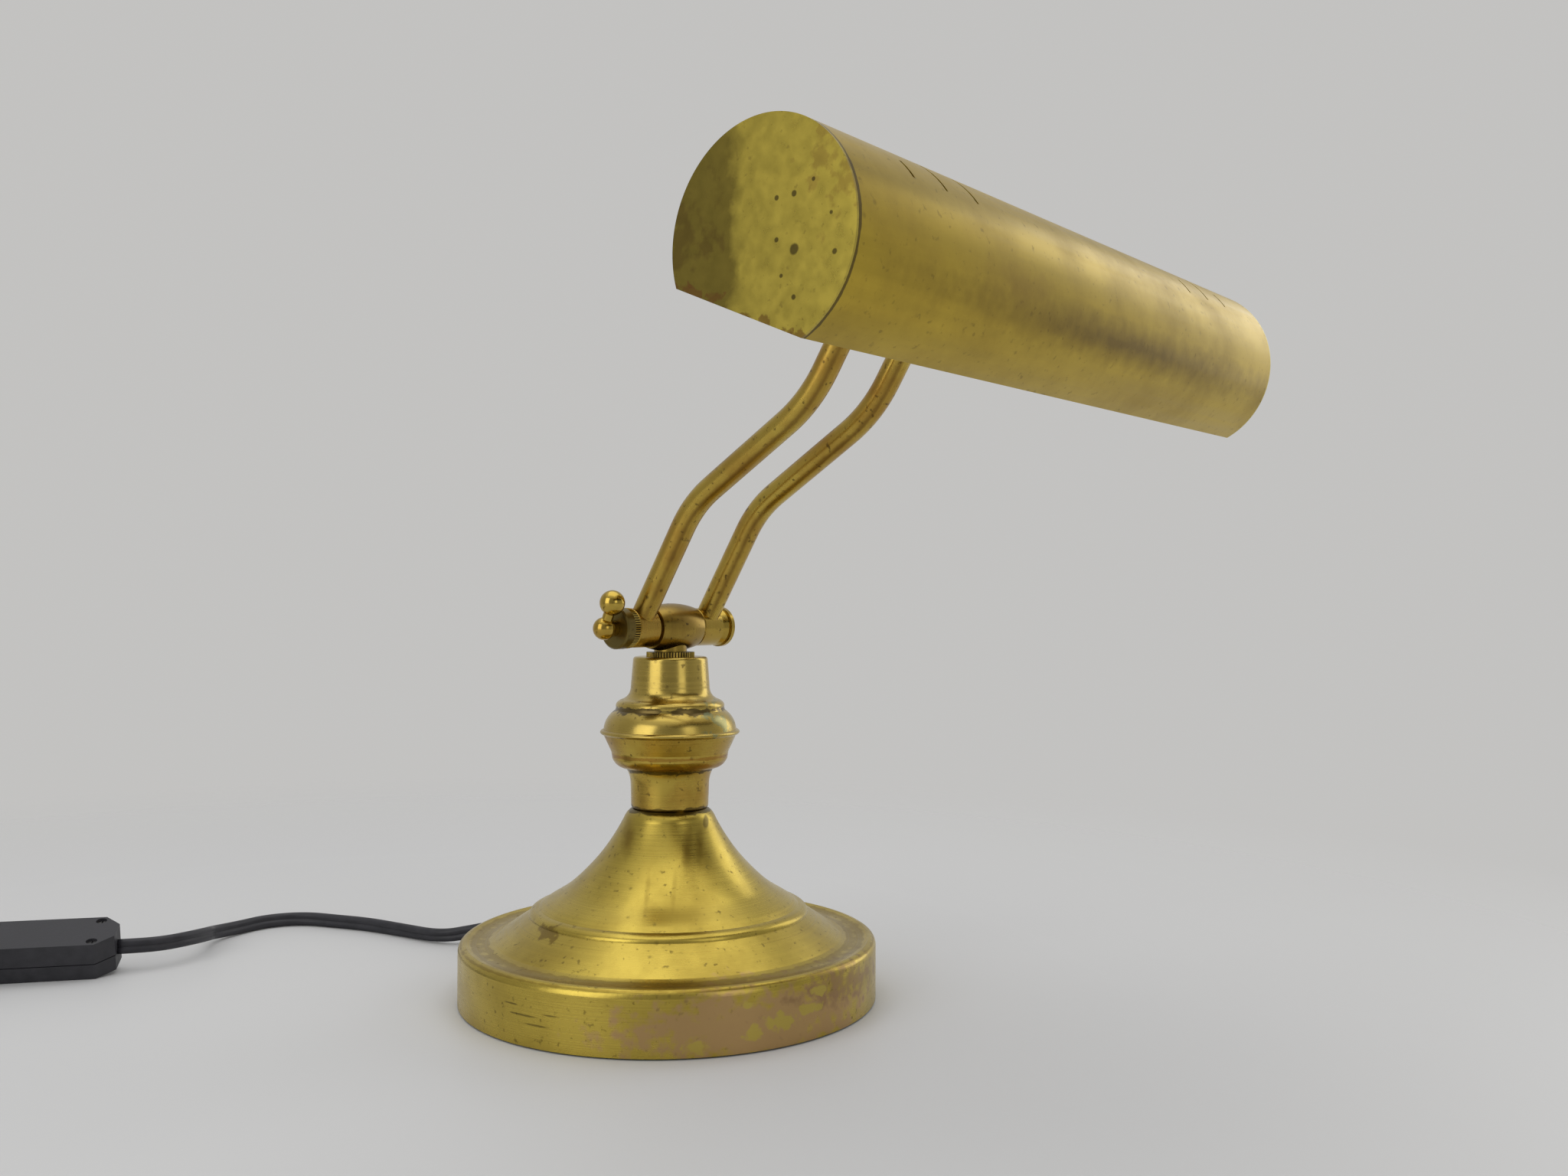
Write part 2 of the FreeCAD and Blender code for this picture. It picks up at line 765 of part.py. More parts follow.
def pivot_parts():
    low = V(0, 0, pivot_height)
    high = shade_spot(0, shade_reach, 0)
    bolt_end = hub_start() + hub_length + cap_length - bolt_end_depth - fit_gap
    key_end = key_start() + key_nut_length - key_neck_seat
    neck = pivot_height - column_top + stem_reach
    write_placed((
            ("lower_knuckle", knuckle(neck)),
            ("lower_friction_washers", friction_washers()),
            ("lower_left_hub", hub(-1)), ("lower_right_hub", hub(1)),
            ("lower_bolt", rod_x(bolt_radius, -key_end + fit_gap, bolt_end)),
            ("lower_right_cap", bolt_cap(1)), ("knurled_ring", knurled_ring()),
            ("key_nut", key_nut()), ("clamp_key", clamp_key())), lambda shape: at(shape, low.x, low.y, low.z))
    write_placed((
            ("upper_friction_washers", friction_washers()),
            ("upper_left_hub", hub(-1)), ("upper_right_hub", hub(1)),
            ("upper_bolt", rod_x(bolt_radius, -bolt_end, bolt_end)),
            ("upper_left_cap", bolt_cap(-1)), ("upper_right_cap", bolt_cap(1))),
                 lambda shape: at(shape, high.x, high.y, high.z))
    write("left_arm_tube", arm_tube(-1))
    write("right_arm_tube", arm_tube(1))
    write("arm_lead", arm_lead())


# Shade, made level around its own centre with the knuckle behind it on +Y, then tilted

def shade_spot(x, back, up):
    turn = FreeCAD.Rotation(V(1, 0, 0), shade_tilt)
    return turn.multVec(V(x, back, up)) + V(0, shade_y, shade_z)


def arc_band(outer, inner, x0, x1, half_arc):
    """Part of a tube along X, open below."""
    half = math.radians(half_arc)

    def rim(radius, angle):
        return V(x0, radius * math.sin(angle), radius * math.cos(angle))
    edges = [Part.Arc(rim(outer, -half), rim(outer, 0), rim(outer, half)).toShape(),
             Part.makeLine(rim(outer, half), rim(inner, half)),
             Part.Arc(rim(inner, half), rim(inner, 0), rim(inner, -half)).toShape(),
             Part.makeLine(rim(inner, -half), rim(outer, -half))]
    return Part.Face(Part.Wire(edges)).extrude(V(x1 - x0, 0, 0))


def slit(x, back_angle):
    """Cutter for one vent slit that runs round the top; angles are forward of the top."""
    low = math.radians(back_angle)
    high = math.radians(slit_front_angle)
    deep = shade_radius - shade_wall * 3
    tall = shade_radius + shade_wall * 3
    x0 = x - slit_width / 2

    def spot(radius, angle):
        return V(x0, -radius * math.sin(angle), radius * math.cos(angle))
    middle = (low + high) / 2
    edges = [Part.Arc(spot(tall, low), spot(tall, middle), spot(tall, high)).toShape(),
             Part.makeLine(spot(tall, high), spot(deep, high)),
             Part.Arc(spot(deep, high), spot(deep, middle), spot(deep, low)).toShape(),
             Part.makeLine(spot(deep, low), spot(tall, low))]
    return Part.Face(Part.Wire(edges)).extrude(V(slit_width, 0, 0))


def shade_shell():
    half = shade_length / 2 - end_wall
    shell = arc_band(shade_radius, shade_radius - shade_wall, -half, half, shade_half_arc)
    for side in (-1, 1):
        for step in (-1, 0, 1):
            # The outermost slit of each group is short, and so is the inner one on the right
            short = step * side > 0 or (side > 0 and step != 0)
            start = slit_short_angle if short else slit_long_angle
            shell = shell.cut(slit(side * slit_centre + step * slit_spacing, start))
    return shell.cut(rod_y(stem_radius + fit_gap, 0, shade_radius + shade_wall))


def end_cap(side):
    """Flat end plate with a lip that slips inside the shell."""
    half = shade_length / 2
    outer = shade_radius - shade_wall - end_lip_gap
    plate = cap_plate(half - end_wall, half)
    lip = arc_band(outer, outer - end_wall, half - end_wall - end_lip, half - end_wall, shade_half_arc)
    cap = plate.fuse(lip).removeSplitter()
    return mirrored(cap, side)


def cap_plate(x0, x1):
    half = math.radians(shade_half_arc)

    def rim(angle):
        return V(x0, shade_radius * math.sin(angle), shade_radius * math.cos(angle))
    edges = [Part.Arc(rim(-half), rim(0), rim(half)).toShape(), Part.makeLine(rim(half), rim(-half))]
    return Part.Face(Part.Wire(edges)).extrude(V(x1 - x0, 0, 0))


def lying_back(shape):
    """Turn a shape made along +Z so that its axis points back, along +Y."""
    shape.Placement = FreeCAD.Placement(V(0, 0, 0), FreeCAD.Rotation(V(1, 0, 0), -90))
    return shape


def shade_collar():
    """Turned cup between the shade's back and the lock nut, hollowed to the round of the shade."""
    foot = shade_radius - collar_foot
    end = collar_end()
    waist = (collar_neck_radius + (collar_foot_radius - collar_neck_radius) / 4, (foot + end) / 2)
    cup = turned([[(0, foot), (collar_foot_radius, foot)],
                  [(collar_foot_radius, foot), (collar_foot_radius, foot + collar_foot)],
                  [(collar_foot_radius, foot + collar_foot), waist, (collar_neck_radius, end)],
                  [(collar_neck_radius, end), (0, end)],
                  [(0, end), (0, foot)]])
    cup = lying_back(cup)
    bore = rod_y(stem_radius + fit_gap, 0, end)
    round_back = rod_x(shade_radius + fit_gap, -collar_foot_radius, collar_foot_radius)
    return cup.cut(round_back).cut(bore)


def collar_end():
    return shade_reach - knuckle_radius - face_gap - lock_nut_height


def upper_knuckle():
    """Same barrel as below, its stem pointing forward through the shade's back."""
    body = knuckle(shade_reach - stem_inside)
    body.Placement = FreeCAD.Placement(V(0, shade_reach, 0), FreeCAD.Rotation(V(1, 0, 0), -90))
    return body


def bracket_seat():
    """Back face of the bracket's foot, inside the round of the shade."""
    return math.sqrt((shade_radius - shade_wall) ** 2 - bracket_rise ** 2) - fit_gap


def holder_bracket():
    """Foot on the stem, a web above the nut and a round plate between the two lampholders."""
    seat = bracket_seat()
    half = bracket_thickness / 2
    foot = block(-bracket_half_width, bracket_half_width, seat - bracket_thickness, seat,
                 -bracket_half_width, bracket_rise)
    foot = foot.cut(rod_y(stem_radius + fit_gap, 0, shade_radius))
    web = block(-half, half, 0, seat - bracket_thickness, bracket_half_width, bracket_rise)
    plate = rod_x(holder_radius - holder_edge, -half, half, z=lamp_rise)
    return foot.fuse(web).fuse(plate).removeSplitter()


def holder_inner():
    """Distance of a holder's back face from the middle, against the bracket's plate."""
    return (bracket_thickness + face_gap) / 2


def lampholder(side):
    inner = holder_inner()
    outer = inner + holder_length
    body = turned(outline([(0, inner), (holder_radius - holder_edge, inner),
                           (holder_radius, inner + holder_edge),
                           (holder_radius, outer - holder_nose), (holder_radius - holder_nose, outer),
                           (holder_socket_radius, outer), (holder_socket_radius, outer - holder_socket_depth),
                           (0, outer - holder_socket_depth)]), V(1, 0, 0))
    return at(mirrored(body, side), z=lamp_rise)


def lamp_foot():
    return holder_inner() + holder_length - lamp_cap_length


def lamp_cap(side):
    start = lamp_foot()
    end = start + lamp_cap_length
    cap = turned(outline([(0, start), (lamp_cap_radius - lamp_cap_nose, start),
                          (lamp_cap_radius, start + lamp_cap_nose), (lamp_cap_radius, end),
                          (0, end)]), V(1, 0, 0))
    return at(mirrored(cap, side), z=lamp_rise)


def lamp_glass(side):
    start = lamp_foot() + lamp_cap_length + fit_gap
    tip = start + lamp_length
    straight = tip - lamp_radius
    shoulder = start + lamp_radius - lamp_cap_radius
    slope = lamp_radius * math.sqrt(0.5)
    glass = turned([[(0, start), (lamp_cap_radius, start)],
                    [(lamp_cap_radius, start), (lamp_radius, shoulder)],
                    [(lamp_radius, shoulder), (lamp_radius, straight)],
                    [(lamp_radius, straight), (slope, straight + slope), (0, tip)],
                    [(0, tip), (0, start)]], V(1, 0, 0))
    return at(mirrored(glass, side), z=lamp_rise)


def shade_leads():
    """Two leads from the stem's mouth to the backs of the holders."""
    leads = []
    mouth = stem_inside - lamp_gap
    finish = holder_radius + lamp_gap
    middle = (mouth + finish) / 2
    for side in (-1, 1):
        x = side * (lead_radius + lamp_gap)
        aside = side * lead_spread
        points = [V(x, mouth, 0), V(x, middle + lead_radius, 0),
                  V(aside, middle - lead_radius, lamp_rise), V(aside, finish, lamp_rise)]
        path = rounded_route(points)[0]
        leads.append(swept(path, round_section(points[0], points[1] - points[0], lead_radius)))
    return leads


def shade_parts():
    end = collar_end()
    nut = lying_back(knurled_disc(lock_nut_radius, end, end + lock_nut_height))
    seat = bracket_seat() - bracket_thickness
    inner_nut = lying_back(hexagon(nut_flats, seat - nut_height / 2, seat))
    bore = rod_y(stem_radius + fit_gap, 0, shade_reach)
    write_placed((
            ("shade_shell", shade_shell()), ("left_end_cap", end_cap(-1)), ("right_end_cap", end_cap(1)),
            ("shade_collar", shade_collar()), ("upper_lock_nut", nut.cut(bore)),
            ("upper_knuckle", upper_knuckle()), ("stem_nut", inner_nut.cut(bore)),
            ("holder_bracket", holder_bracket()),
            ("left_lampholder", lampholder(-1)), ("right_lampholder", lampholder(1)),
            ("left_lamp_cap", lamp_cap(-1)), ("right_lamp_cap", lamp_cap(1)),
            ("left_lamp_glass", lamp_glass(-1)), ("right_lamp_glass", lamp_glass(1)),
            ("shade_leads", shade_leads())), shade_moved)


def shade_moved(shape):
    moved = shape.copy()
    moved.rotate(V(0, 0, 0), V(1, 0, 0), shade_tilt)
    moved.translate(V(0, shade_y, shade_z))
    return moved


# Cord, grommet and the lead inside the base

def cord_grommet():
    """Bush in the skirt with a tapered strain relief behind it."""
    face = base_radius + face_gap
    inside = base_radius - base_wall - face_gap * 4
    groove = grommet_flange_radius - grommet_ring
    end = face + grommet_length
    bush = turned(outline([
        (0, inside - grommet_ring), (grommet_radius + grommet_ring_rise, inside - grommet_ring),
        (grommet_radius + grommet_ring_rise, inside), (grommet_radius, inside), (grommet_radius, face),
        (grommet_flange_radius, face), (grommet_flange_radius, face + grommet_flange),
        (groove, face + grommet_flange), (grommet_tip_radius, end), (0, end)]))
    return at(lying_back(bush), z=cord_exit_height)


def column_lead():
    """Round sheathed lead from the bush through the weight's channel and up the rod."""
    start = V(0, base_radius - base_wall - face_gap * 4 - grommet_ring, cord_exit_height)
    corner = V(0, 0, cord_exit_height)
    path = rounded_route([start, corner, V(0, 0, rod_top - top_round)], [lead_bend])[0]
    return swept(path, round_section(start, corner - start, lead_sheath_radius))


def switch_axes():
    """Directions of the switch: along its length to the lamp, across it, and out of its screw side."""
    heading = math.radians(switch_heading)
    roll = math.radians(switch_roll)
    along = V(math.cos(heading), math.sin(heading), 0)
    level = V(-math.sin(heading), math.cos(heading), 0)
    across = level * math.cos(roll) + V(0, 0, math.sin(roll))
    return along, across, along.cross(across)


def switch_origin():
    """Middle of the near tip on the rocker side, with the front long edge on the table."""
    along, across, out = switch_axes()
    height = face_gap + switch_width / 2 * across.z
    shift = out * (switch_height / 2)
    return V(switch_tip[0] - shift.x, switch_tip[1] - shift.y, height)


def switch_spot(x, y, z):
    along, across, out = switch_axes()
    return switch_origin() + along * x + across * y + out * z


def in_switch(shape):
    """Put a shape made along -X from the near tip into the switch's place."""
    along, across, out = switch_axes()
    origin = switch_origin()
    moved = shape.copy()
    moved.Placement = FreeCAD.Placement(FreeCAD.Matrix(
        along.x, across.x, out.x, origin.x, along.y, across.y, out.y, origin.y,
        along.z, across.z, out.z, origin.z, 0, 0, 0, 1)).multiply(moved.Placement)
    return moved


def switch_plan(inset, low, high):
    """Slab with the switch's outline, its ends tapered, drawn in by the inset."""
    half = switch_width / 2 - inset
    tip = switch_tip_width / 2 - inset
    near = -inset
    far = -switch_length + inset
    points = [V(near, -tip, low), V(near, tip, low), V(-switch_taper, half, low),
              V(-switch_length + switch_taper, half, low), V(far, tip, low), V(far, -tip, low),
              V(-switch_length + switch_taper, -half, low), V(-switch_taper, -half, low), V(near, -tip, low)]
    return Part.Face(Part.makePolygon(points)).extrude(V(0, 0, high - low))


def screw_places():
    far = -switch_length + screw_inset
    return [(x, y) for x in (-screw_inset, far) for y in (-screw_side, screw_side)]


def switch_shell(low, high, closed_low):
    """Half of the housing, hollow, with the posts that its screws go through."""
    inner_low = low + switch_wall if closed_low else low
    inner_high = high if closed_low else high - switch_wall
    shell = switch_plan(0, low, high).cut(switch_plan(switch_wall, inner_low, inner_high))
    for x, y in screw_places():
        post = rod_z(screw_post_radius, low, high, x, y).common(switch_plan(0, low, high))
        shell = shell.fuse(post)
    return shell


def rocker_middle():
    return -switch_length / 2


def lug(side):
    """Ear beside the rocker's opening that holds its pin."""
    inner = rocker_width / 2 + rocker_gap
    y0, y1 = sorted((side * inner, side * (inner + lug_thickness)))
    half = rocker_pin_radius * 2
    return block(rocker_middle() - half, rocker_middle() + half, y0, y1, 0, rocker_pin_height + half)


def switch_base():
    shell = switch_shell(0, switch_seam - switch_seam_gap / 2, True)
    reach = rocker_length / 2 + rocker_gap
    side = rocker_width / 2 + rocker_gap
    middle = rocker_middle()
    shell = shell.cut(block(middle - reach, middle + reach, -side, side, 0, switch_wall))
    for hand in (-1, 1):
        shell = shell.fuse(lug(hand))
    pin_bore = rod_y(rocker_pin_radius + fit_gap, -side - lug_thickness, side + lug_thickness,
                     middle, rocker_pin_height)
    shell = shell.removeSplitter().cut(pin_bore)
    for x, y in screw_places():
        shell = shell.cut(rod_z(screw_radius + fit_gap, switch_wall, switch_seam, x, y))
    return shell


def switch_cover():
    shell = switch_shell(switch_seam + switch_seam_gap / 2, switch_height, False).removeSplitter()
    for x, y in screw_places():
        shell = shell.cut(rod_z(screw_head_radius + fit_gap, switch_height - screw_depth, switch_height, x, y))
        shell = shell.cut(rod_z(screw_radius + fit_gap, switch_seam, switch_height, x, y))
    return shell


def switch_screw(x, y):
    seat = switch_height - screw_depth
    top = seat + screw_head_height
    shank = rod_z(screw_radius, switch_wall + fit_gap, seat, x, y)
    screw = rod_z(screw_head_radius, seat, top, x, y).fuse(shank)
    slot = block(x - screw_slot / 2, x + screw_slot / 2, y - screw_head_radius, y + screw_head_radius,
                 top - screw_slot, top)
    return screw.cut(slot)


def switch_terminals():
    """Two brass terminal blocks on the floor of the housing, at the rocker's ends."""
    blocks = []
    for x in (-switch_taper - terminal_length * 1.5, -switch_length + switch_taper + terminal_length * 0.5):
        low = switch_wall
        side = terminal_width / 2
        clamp = block(x, x + terminal_length, -side, side, low, low + terminal_height)
        hole = rod_z(screw_radius, low, low + terminal_height, x + terminal_length / 2)
        blocks.append(clamp.cut(hole))
    return blocks


def switch_rocker():
    """Rocker with a shallow V face, rounded about its pin, and a pin on each side."""
    half = rocker_length / 2
    middle = rocker_middle()
    fall = math.tan(math.radians(rocker_lean)) * half
    back = rocker_pin_height + rocker_back
    points = [V(middle - half, 0, -rocker_rise - fall), V(middle, 0, -rocker_rise),
              V(middle + half, 0, -rocker_rise - fall), V(middle + half, 0, back), V(middle - half, 0, back)]
    face = Part.Face(Part.makePolygon(points + points[:1]))
    body = at(face.extrude(V(0, rocker_width, 0)), y=-rocker_width / 2)
    body = body.common(rod_y(half, -rocker_width, rocker_width, middle, rocker_pin_height))
    reach = rocker_width / 2 + rocker_pin_length
    body = body.fuse(rod_y(rocker_pin_radius, -reach, reach, middle, rocker_pin_height))
    body.rotate(V(middle, 0, rocker_pin_height), V(0, 1, 0), rocker_lean)
    return body


def beside(start, direction, steps, length, height):
    """Points of a route that leaves start level in a direction and falls to the height."""
    aside = V(-direction.y, direction.x, 0)
    points = [start]
    for along, left, share in steps:
        spot = start + direction * along + aside * left
        points.append(V(spot.x, spot.y, start.z + (height - start.z) * share))
    end = start + direction * length
    return points + [V(end.x, end.y, height)]


def coil_heading(angle):
    return V(-math.sin(angle), math.cos(angle), 0)


def coil_centre():
    """The coil's first turn begins where the lead-in ends."""
    along, across, out = switch_axes()
    entry = switch_spot(-switch_length, 0, switch_height / 2) - along * lead_in_length
    start = math.radians(coil_start)
    return V(entry.x - coil_outer * math.cos(start), entry.y - coil_outer * math.sin(start), 0)


def coil_place(turn):
    """Centre of the cord after so many turns: in at a steady rate, then out again one layer up."""
    angle = math.radians(coil_start) + 2 * math.pi * turn
    radius = coil_outer - coil_pitch * (coil_turns - abs(turn - coil_turns))
    # The climb takes the half turn round the reversal
    share = min(max((turn - coil_turns) * 2 + 0.5, 0.0), 1.0)
    height = cord_floor + coil_layer * share * share * (3 - 2 * share)
    centre = coil_centre()
    return V(centre.x + radius * math.cos(angle), centre.y + radius * math.sin(angle), height)


def coil_way(turn):
    """Direction of the cord after so many turns, level where the coil begins and ends."""
    small = 1e-3
    total = 2 * coil_turns
    if turn <= 0 or turn >= total:
        return coil_heading(math.radians(coil_start) + 2 * math.pi * min(max(turn, 0), total))
    return unit_vector(coil_place(turn + small) - coil_place(turn - small))


def coil_stations():
    """Turn counts a quarter turn or less apart, with one at the reversal and at the ends of the climb."""
    quarter = 1.0 / coil_steps
    before = coil_turns - quarter
    whole = int(before / quarter)
    stations = [0.0] + [before - quarter * k for k in range(whole, -1, -1)]
    if stations[1] < quarter / 2:
        del stations[1]
    mirrored = [2 * coil_turns - turn for turn in stations[::-1]]
    return stations + [coil_turns] + mirrored


def cord_coil():
    """One unbroken flat cord wound in two layers, made of biarcs."""
    stations = coil_stations()
    edges = []
    for low, high in zip(stations, stations[1:]):
        edges += biarc(coil_place(low), coil_way(low), coil_place(high), coil_way(high))
    path = Part.Wire(edges)
    print("coil length", round(path.Length, 1), "least gap", round(coil_gap(), 2))
    return swept(path, flat_section(coil_place(0), coil_way(0)))


def coil_gap():
    """Least clear distance between turns, measured on points along the centre line."""
    per_turn = 90
    total = int(2 * coil_turns * per_turn)
    spots = [coil_place(k / per_turn) for k in range(total + 1)]
    least = cord_width
    for i, here in enumerate(spots):
        for there in spots[i + per_turn // 2:]:
            level = math.hypot(there.x - here.x, there.y - here.y)
            upright = max(0.0, abs(there.z - here.z) - (cord_width - cord_thickness))
            least = min(least, math.hypot(level, upright) - cord_thickness)
    return least


def plug_place(shape):
    """Turn a plug made along +X from its cord end into its place at the end of the lead-out."""
    end, way = plug_entry()
    moved = shape.copy()
    turn = FreeCAD.Rotation(V(1, 0, 0), way)
    moved.Placement = FreeCAD.Placement(end, turn).multiply(moved.Placement)
    return moved


def plug_entry():
    finish = 2 * coil_turns
    way = coil_way(finish)
    end = coil_place(finish) + way * lead_out_length
    return V(end.x, end.y, plug_thickness / 2), way


def plug_body():
    half = plug_width / 2
    tail = plug_tail_width / 2
    deep = plug_thickness / 2
    plan = [V(0, -tail, -deep), V(0, tail, -deep),
            V(plug_tail_length, half, -deep), V(plug_length, half, -deep),
            V(plug_length, -half, -deep), V(plug_tail_length, -half, -deep)]
    body = Part.Face(Part.makePolygon(plan + plan[:1])).extrude(V(0, 0, plug_thickness))
    body = body.makeFillet(plug_edge, [edge for edge in body.Edges if abs(edge.CenterOfMass.z) < fit_gap])
    for side in (-1, 1):
        y = side * plug_pin_spacing / 2
        body = body.cut(rod_x(plug_pin_radius + fit_gap, plug_length - plug_pin_seat, plug_length, y))
    return body


def plug_pin(side):
    y = side * plug_pin_spacing / 2
    end = plug_length + plug_pin_length
    shank = rod_x(plug_pin_radius, plug_length - plug_pin_seat, end - plug_pin_radius, y)
    return shank.fuse(Part.makeSphere(plug_pin_radius, V(end - plug_pin_radius, y, 0)))


def cord_parts():
    write("cord_grommet", cord_grommet())
    write("column_lead", column_lead())
    along, across, out = switch_axes()
    relief = V(0, base_radius + face_gap + grommet_length, cord_exit_height)
    near = switch_spot(0, 0, switch_height / 2)
    write("cord_to_switch", flat_cord([relief, relief + V(0, cord_start_run, 0)]
                                      + [V(*point) for point in cord_route]
                                      + [near + along * cord_end_run, near]))
    write("switch_base", in_switch(switch_base()))
    write("switch_cover", in_switch(switch_cover()))
    write("switch_screws", [in_switch(switch_screw(x, y)) for x, y in screw_places()])
    write("switch_terminals", [in_switch(terminal) for terminal in switch_terminals()])
    write("switch_rocker", in_switch(switch_rocker()))
    far = switch_spot(-switch_length, 0, switch_height / 2)
    write("cord_to_coil", flat_cord(beside(far, along * -1, lead_in, lead_in_length, cord_floor)))
    write("cord_coil", cord_coil())
    finish = 2 * coil_turns
    write("cord_to_plug", flat_cord(beside(coil_place(finish), coil_way(finish), lead_out,
                                           lead_out_length, plug_thickness / 2)))
    write("plug_body", plug_place(plug_body()))
    write("plug_pins", [plug_place(plug_pin(side)) for side in (-1, 1)])


os.makedirs("parts", exist_ok=True)
base_parts()
pivot_parts()
shade_parts()
cord_parts()
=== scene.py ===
import math
import bmesh
import bpy
from mathutils import Matrix, Vector


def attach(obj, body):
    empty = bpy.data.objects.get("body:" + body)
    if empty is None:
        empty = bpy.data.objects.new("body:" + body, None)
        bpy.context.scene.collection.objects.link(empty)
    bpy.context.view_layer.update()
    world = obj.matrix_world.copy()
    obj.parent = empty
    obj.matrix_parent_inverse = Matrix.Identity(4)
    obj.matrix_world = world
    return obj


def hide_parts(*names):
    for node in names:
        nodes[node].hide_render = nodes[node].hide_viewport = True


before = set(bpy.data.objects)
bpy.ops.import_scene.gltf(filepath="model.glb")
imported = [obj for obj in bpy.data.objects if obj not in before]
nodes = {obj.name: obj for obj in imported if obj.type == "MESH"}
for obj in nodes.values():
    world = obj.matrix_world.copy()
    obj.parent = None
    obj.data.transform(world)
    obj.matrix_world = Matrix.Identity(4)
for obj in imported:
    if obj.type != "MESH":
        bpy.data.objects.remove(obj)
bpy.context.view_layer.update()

# Camera: the photograph's viewpoint, low and to the front left of the lamp, with a 32 mm lens
# on a 36 mm sensor. All places are in metres, in the lamp's own frame, and angles in degrees.
camera_place = (-0.4341, -0.4262, 0.1715)
camera_yaw = 50.2
camera_pitch = 0.51
camera_roll = 0.21
lens_length = 31.80
sensor_width = 36.0
bpy.ops.object.camera_add(location=camera_place)
camera = bpy.context.object
camera.data.sensor_width = sensor_width
camera.data.lens = lens_length
turn = (Matrix.Rotation(math.radians(-camera_yaw), 4, "Z")
        @ Matrix.Rotation(math.radians(90 + camera_pitch), 4, "X")
        @ Matrix.Rotation(math.radians(camera_roll), 4, "Z"))
camera.rotation_euler = turn.to_euler()
bpy.context.scene.camera = camera
bpy.context.scene.view_settings.view_transform = "Standard"


# Room: pale grey all round the view, dimmer behind the viewer and bright overhead, alike for the
# eye and for reflections. Large soft boxes stand on the left, in front, overhead and on the right.
def new_material(name):
    made = bpy.data.materials.new(name)
    made.use_nodes = True
    return made, made.node_tree, made.node_tree.nodes["Principled BSDF"]


def add_node(tree, kind, **values):
    """A node with its settings and sockets given by name; i0 and i1 are sockets by their number."""
    node = tree.nodes.new(kind)
    for key, value in values.items():
        title = key.replace("_", " ")
        if hasattr(node, key) and key not in node.inputs:
            setattr(node, key, value)
        elif title in node.inputs:
            put(tree, node.inputs[title], value)
        else:
            put(tree, node.inputs[int(key[1:])], value)
    return node


def put(tree, socket, value):
    """Link the socket to another one, or give it a value."""
    if isinstance(value, bpy.types.NodeSocket):
        tree.links.new(value, socket)
    else:
        socket.default_value = value


def ramp(tree, factor, stops):
    """Colour ramp with stops of (position, colour), the colour a number or three numbers."""
    node = tree.nodes.new("ShaderNodeValToRGB")
    put(tree, node.inputs[0], factor)
    while len(node.color_ramp.elements) < len(stops):
        node.color_ramp.elements.new(0.5)
    for element, (position, colour) in zip(node.color_ramp.elements, stops):
        element.position = position
        rgb = (colour,) * 3 if isinstance(colour, (int, float)) else colour
        element.color = (*rgb, 1.0)
    return node.outputs["Color"]


backdrop = (0.545, 0.54, 0.53)
view_way = (math.sin(math.radians(camera_yaw)), math.cos(math.radians(camera_yaw)), 0.0)
world = bpy.data.worlds.new("studio")
world.use_nodes = True
bpy.context.scene.world = world
sky = world.node_tree
sky.nodes.clear()
way = add_node(sky, "ShaderNodeTexCoord").outputs["Generated"]
rise = add_node(sky, "ShaderNodeSeparateXYZ", Vector=way).outputs["Z"]
ahead = add_node(sky, "ShaderNodeVectorMath", operation="DOT_PRODUCT", i0=way, i1=view_way).outputs["Value"]
ahead = add_node(sky, "ShaderNodeMapRange", Value=ahead, From_Min=-1.0, From_Max=1.0).outputs[0]
walls = ramp(sky, ahead, [(0.0, 0.31), (0.25, 0.33), (0.5, 0.42), (0.75, 0.5), (0.86, backdrop)])
overhead = ramp(sky, rise, [(0.5, 0.0), (0.8, 0.75), (1.0, 0.95)])
air = add_node(sky, "ShaderNodeMix", data_type="RGBA", blend_type="LIGHTEN")
put(sky, air.inputs[0], 1.0)
put(sky, air.inputs[6], walls)
put(sky, air.inputs[7], overhead)
room = add_node(sky, "ShaderNodeBackground", Color=air.outputs[2], Strength=1.0)
out = add_node(sky, "ShaderNodeOutputWorld")
sky.links.new(room.outputs[0], out.inputs["Surface"])

lamp_middle = Vector((0.0, -0.05, 0.15))
for name, place, width, height, watts in (
        ("window", (-1.55, 0.05, 0.65), 1.00, 1.30, 7.2),
        ("front_box", (-0.30, -1.55, 0.75), 0.60, 1.20, 2.6),
        ("ceiling", (0.10, 0.00, 1.70), 1.60, 1.60, 5.8),
        ("right_box", (1.30, -0.35, 0.60), 0.60, 1.00, 2.5)):
    bpy.ops.object.light_add(type="AREA", location=place)
    light = bpy.context.object
    light.name = name
    light.data.shape = "RECTANGLE"
    light.data.size = width
    light.data.size_y = height
    light.data.energy = watts
    light.rotation_euler = (lamp_middle - light.location).to_track_quat("-Z", "Y").to_euler()


# Table: a pale, faintly glossy sheet of paper. Away from the lamp the camera sees through it to the
# backdrop, while reflections still see the whole sheet.
table_radius = 1.3
fade_shift = (0.1, -0.1, 0.0)
fade_start = 0.34
fade_end = 0.75
bpy.ops.mesh.primitive_circle_add(vertices=96, radius=table_radius, fill_type="NGON")
table = bpy.context.object
table.name = "table"
paper, tree, surface = new_material("table_paper")
spot = add_node(tree, "ShaderNodeTexCoord").outputs["Object"]
centred = add_node(tree, "ShaderNodeMapping", Vector=spot, Location=fade_shift).outputs[0]
away = add_node(tree, "ShaderNodeVectorMath", operation="LENGTH", Vector=centred).outputs["Value"]
fade = add_node(tree, "ShaderNodeMapRange", Value=away, From_Min=fade_start,
                From_Max=fade_end).outputs[0]
surface.inputs["Base Color"].default_value = (0.62, 0.62, 0.62, 1.0)
surface.inputs["Roughness"].default_value = 0.5
surface.inputs["Specular IOR Level"].default_value = 0.25
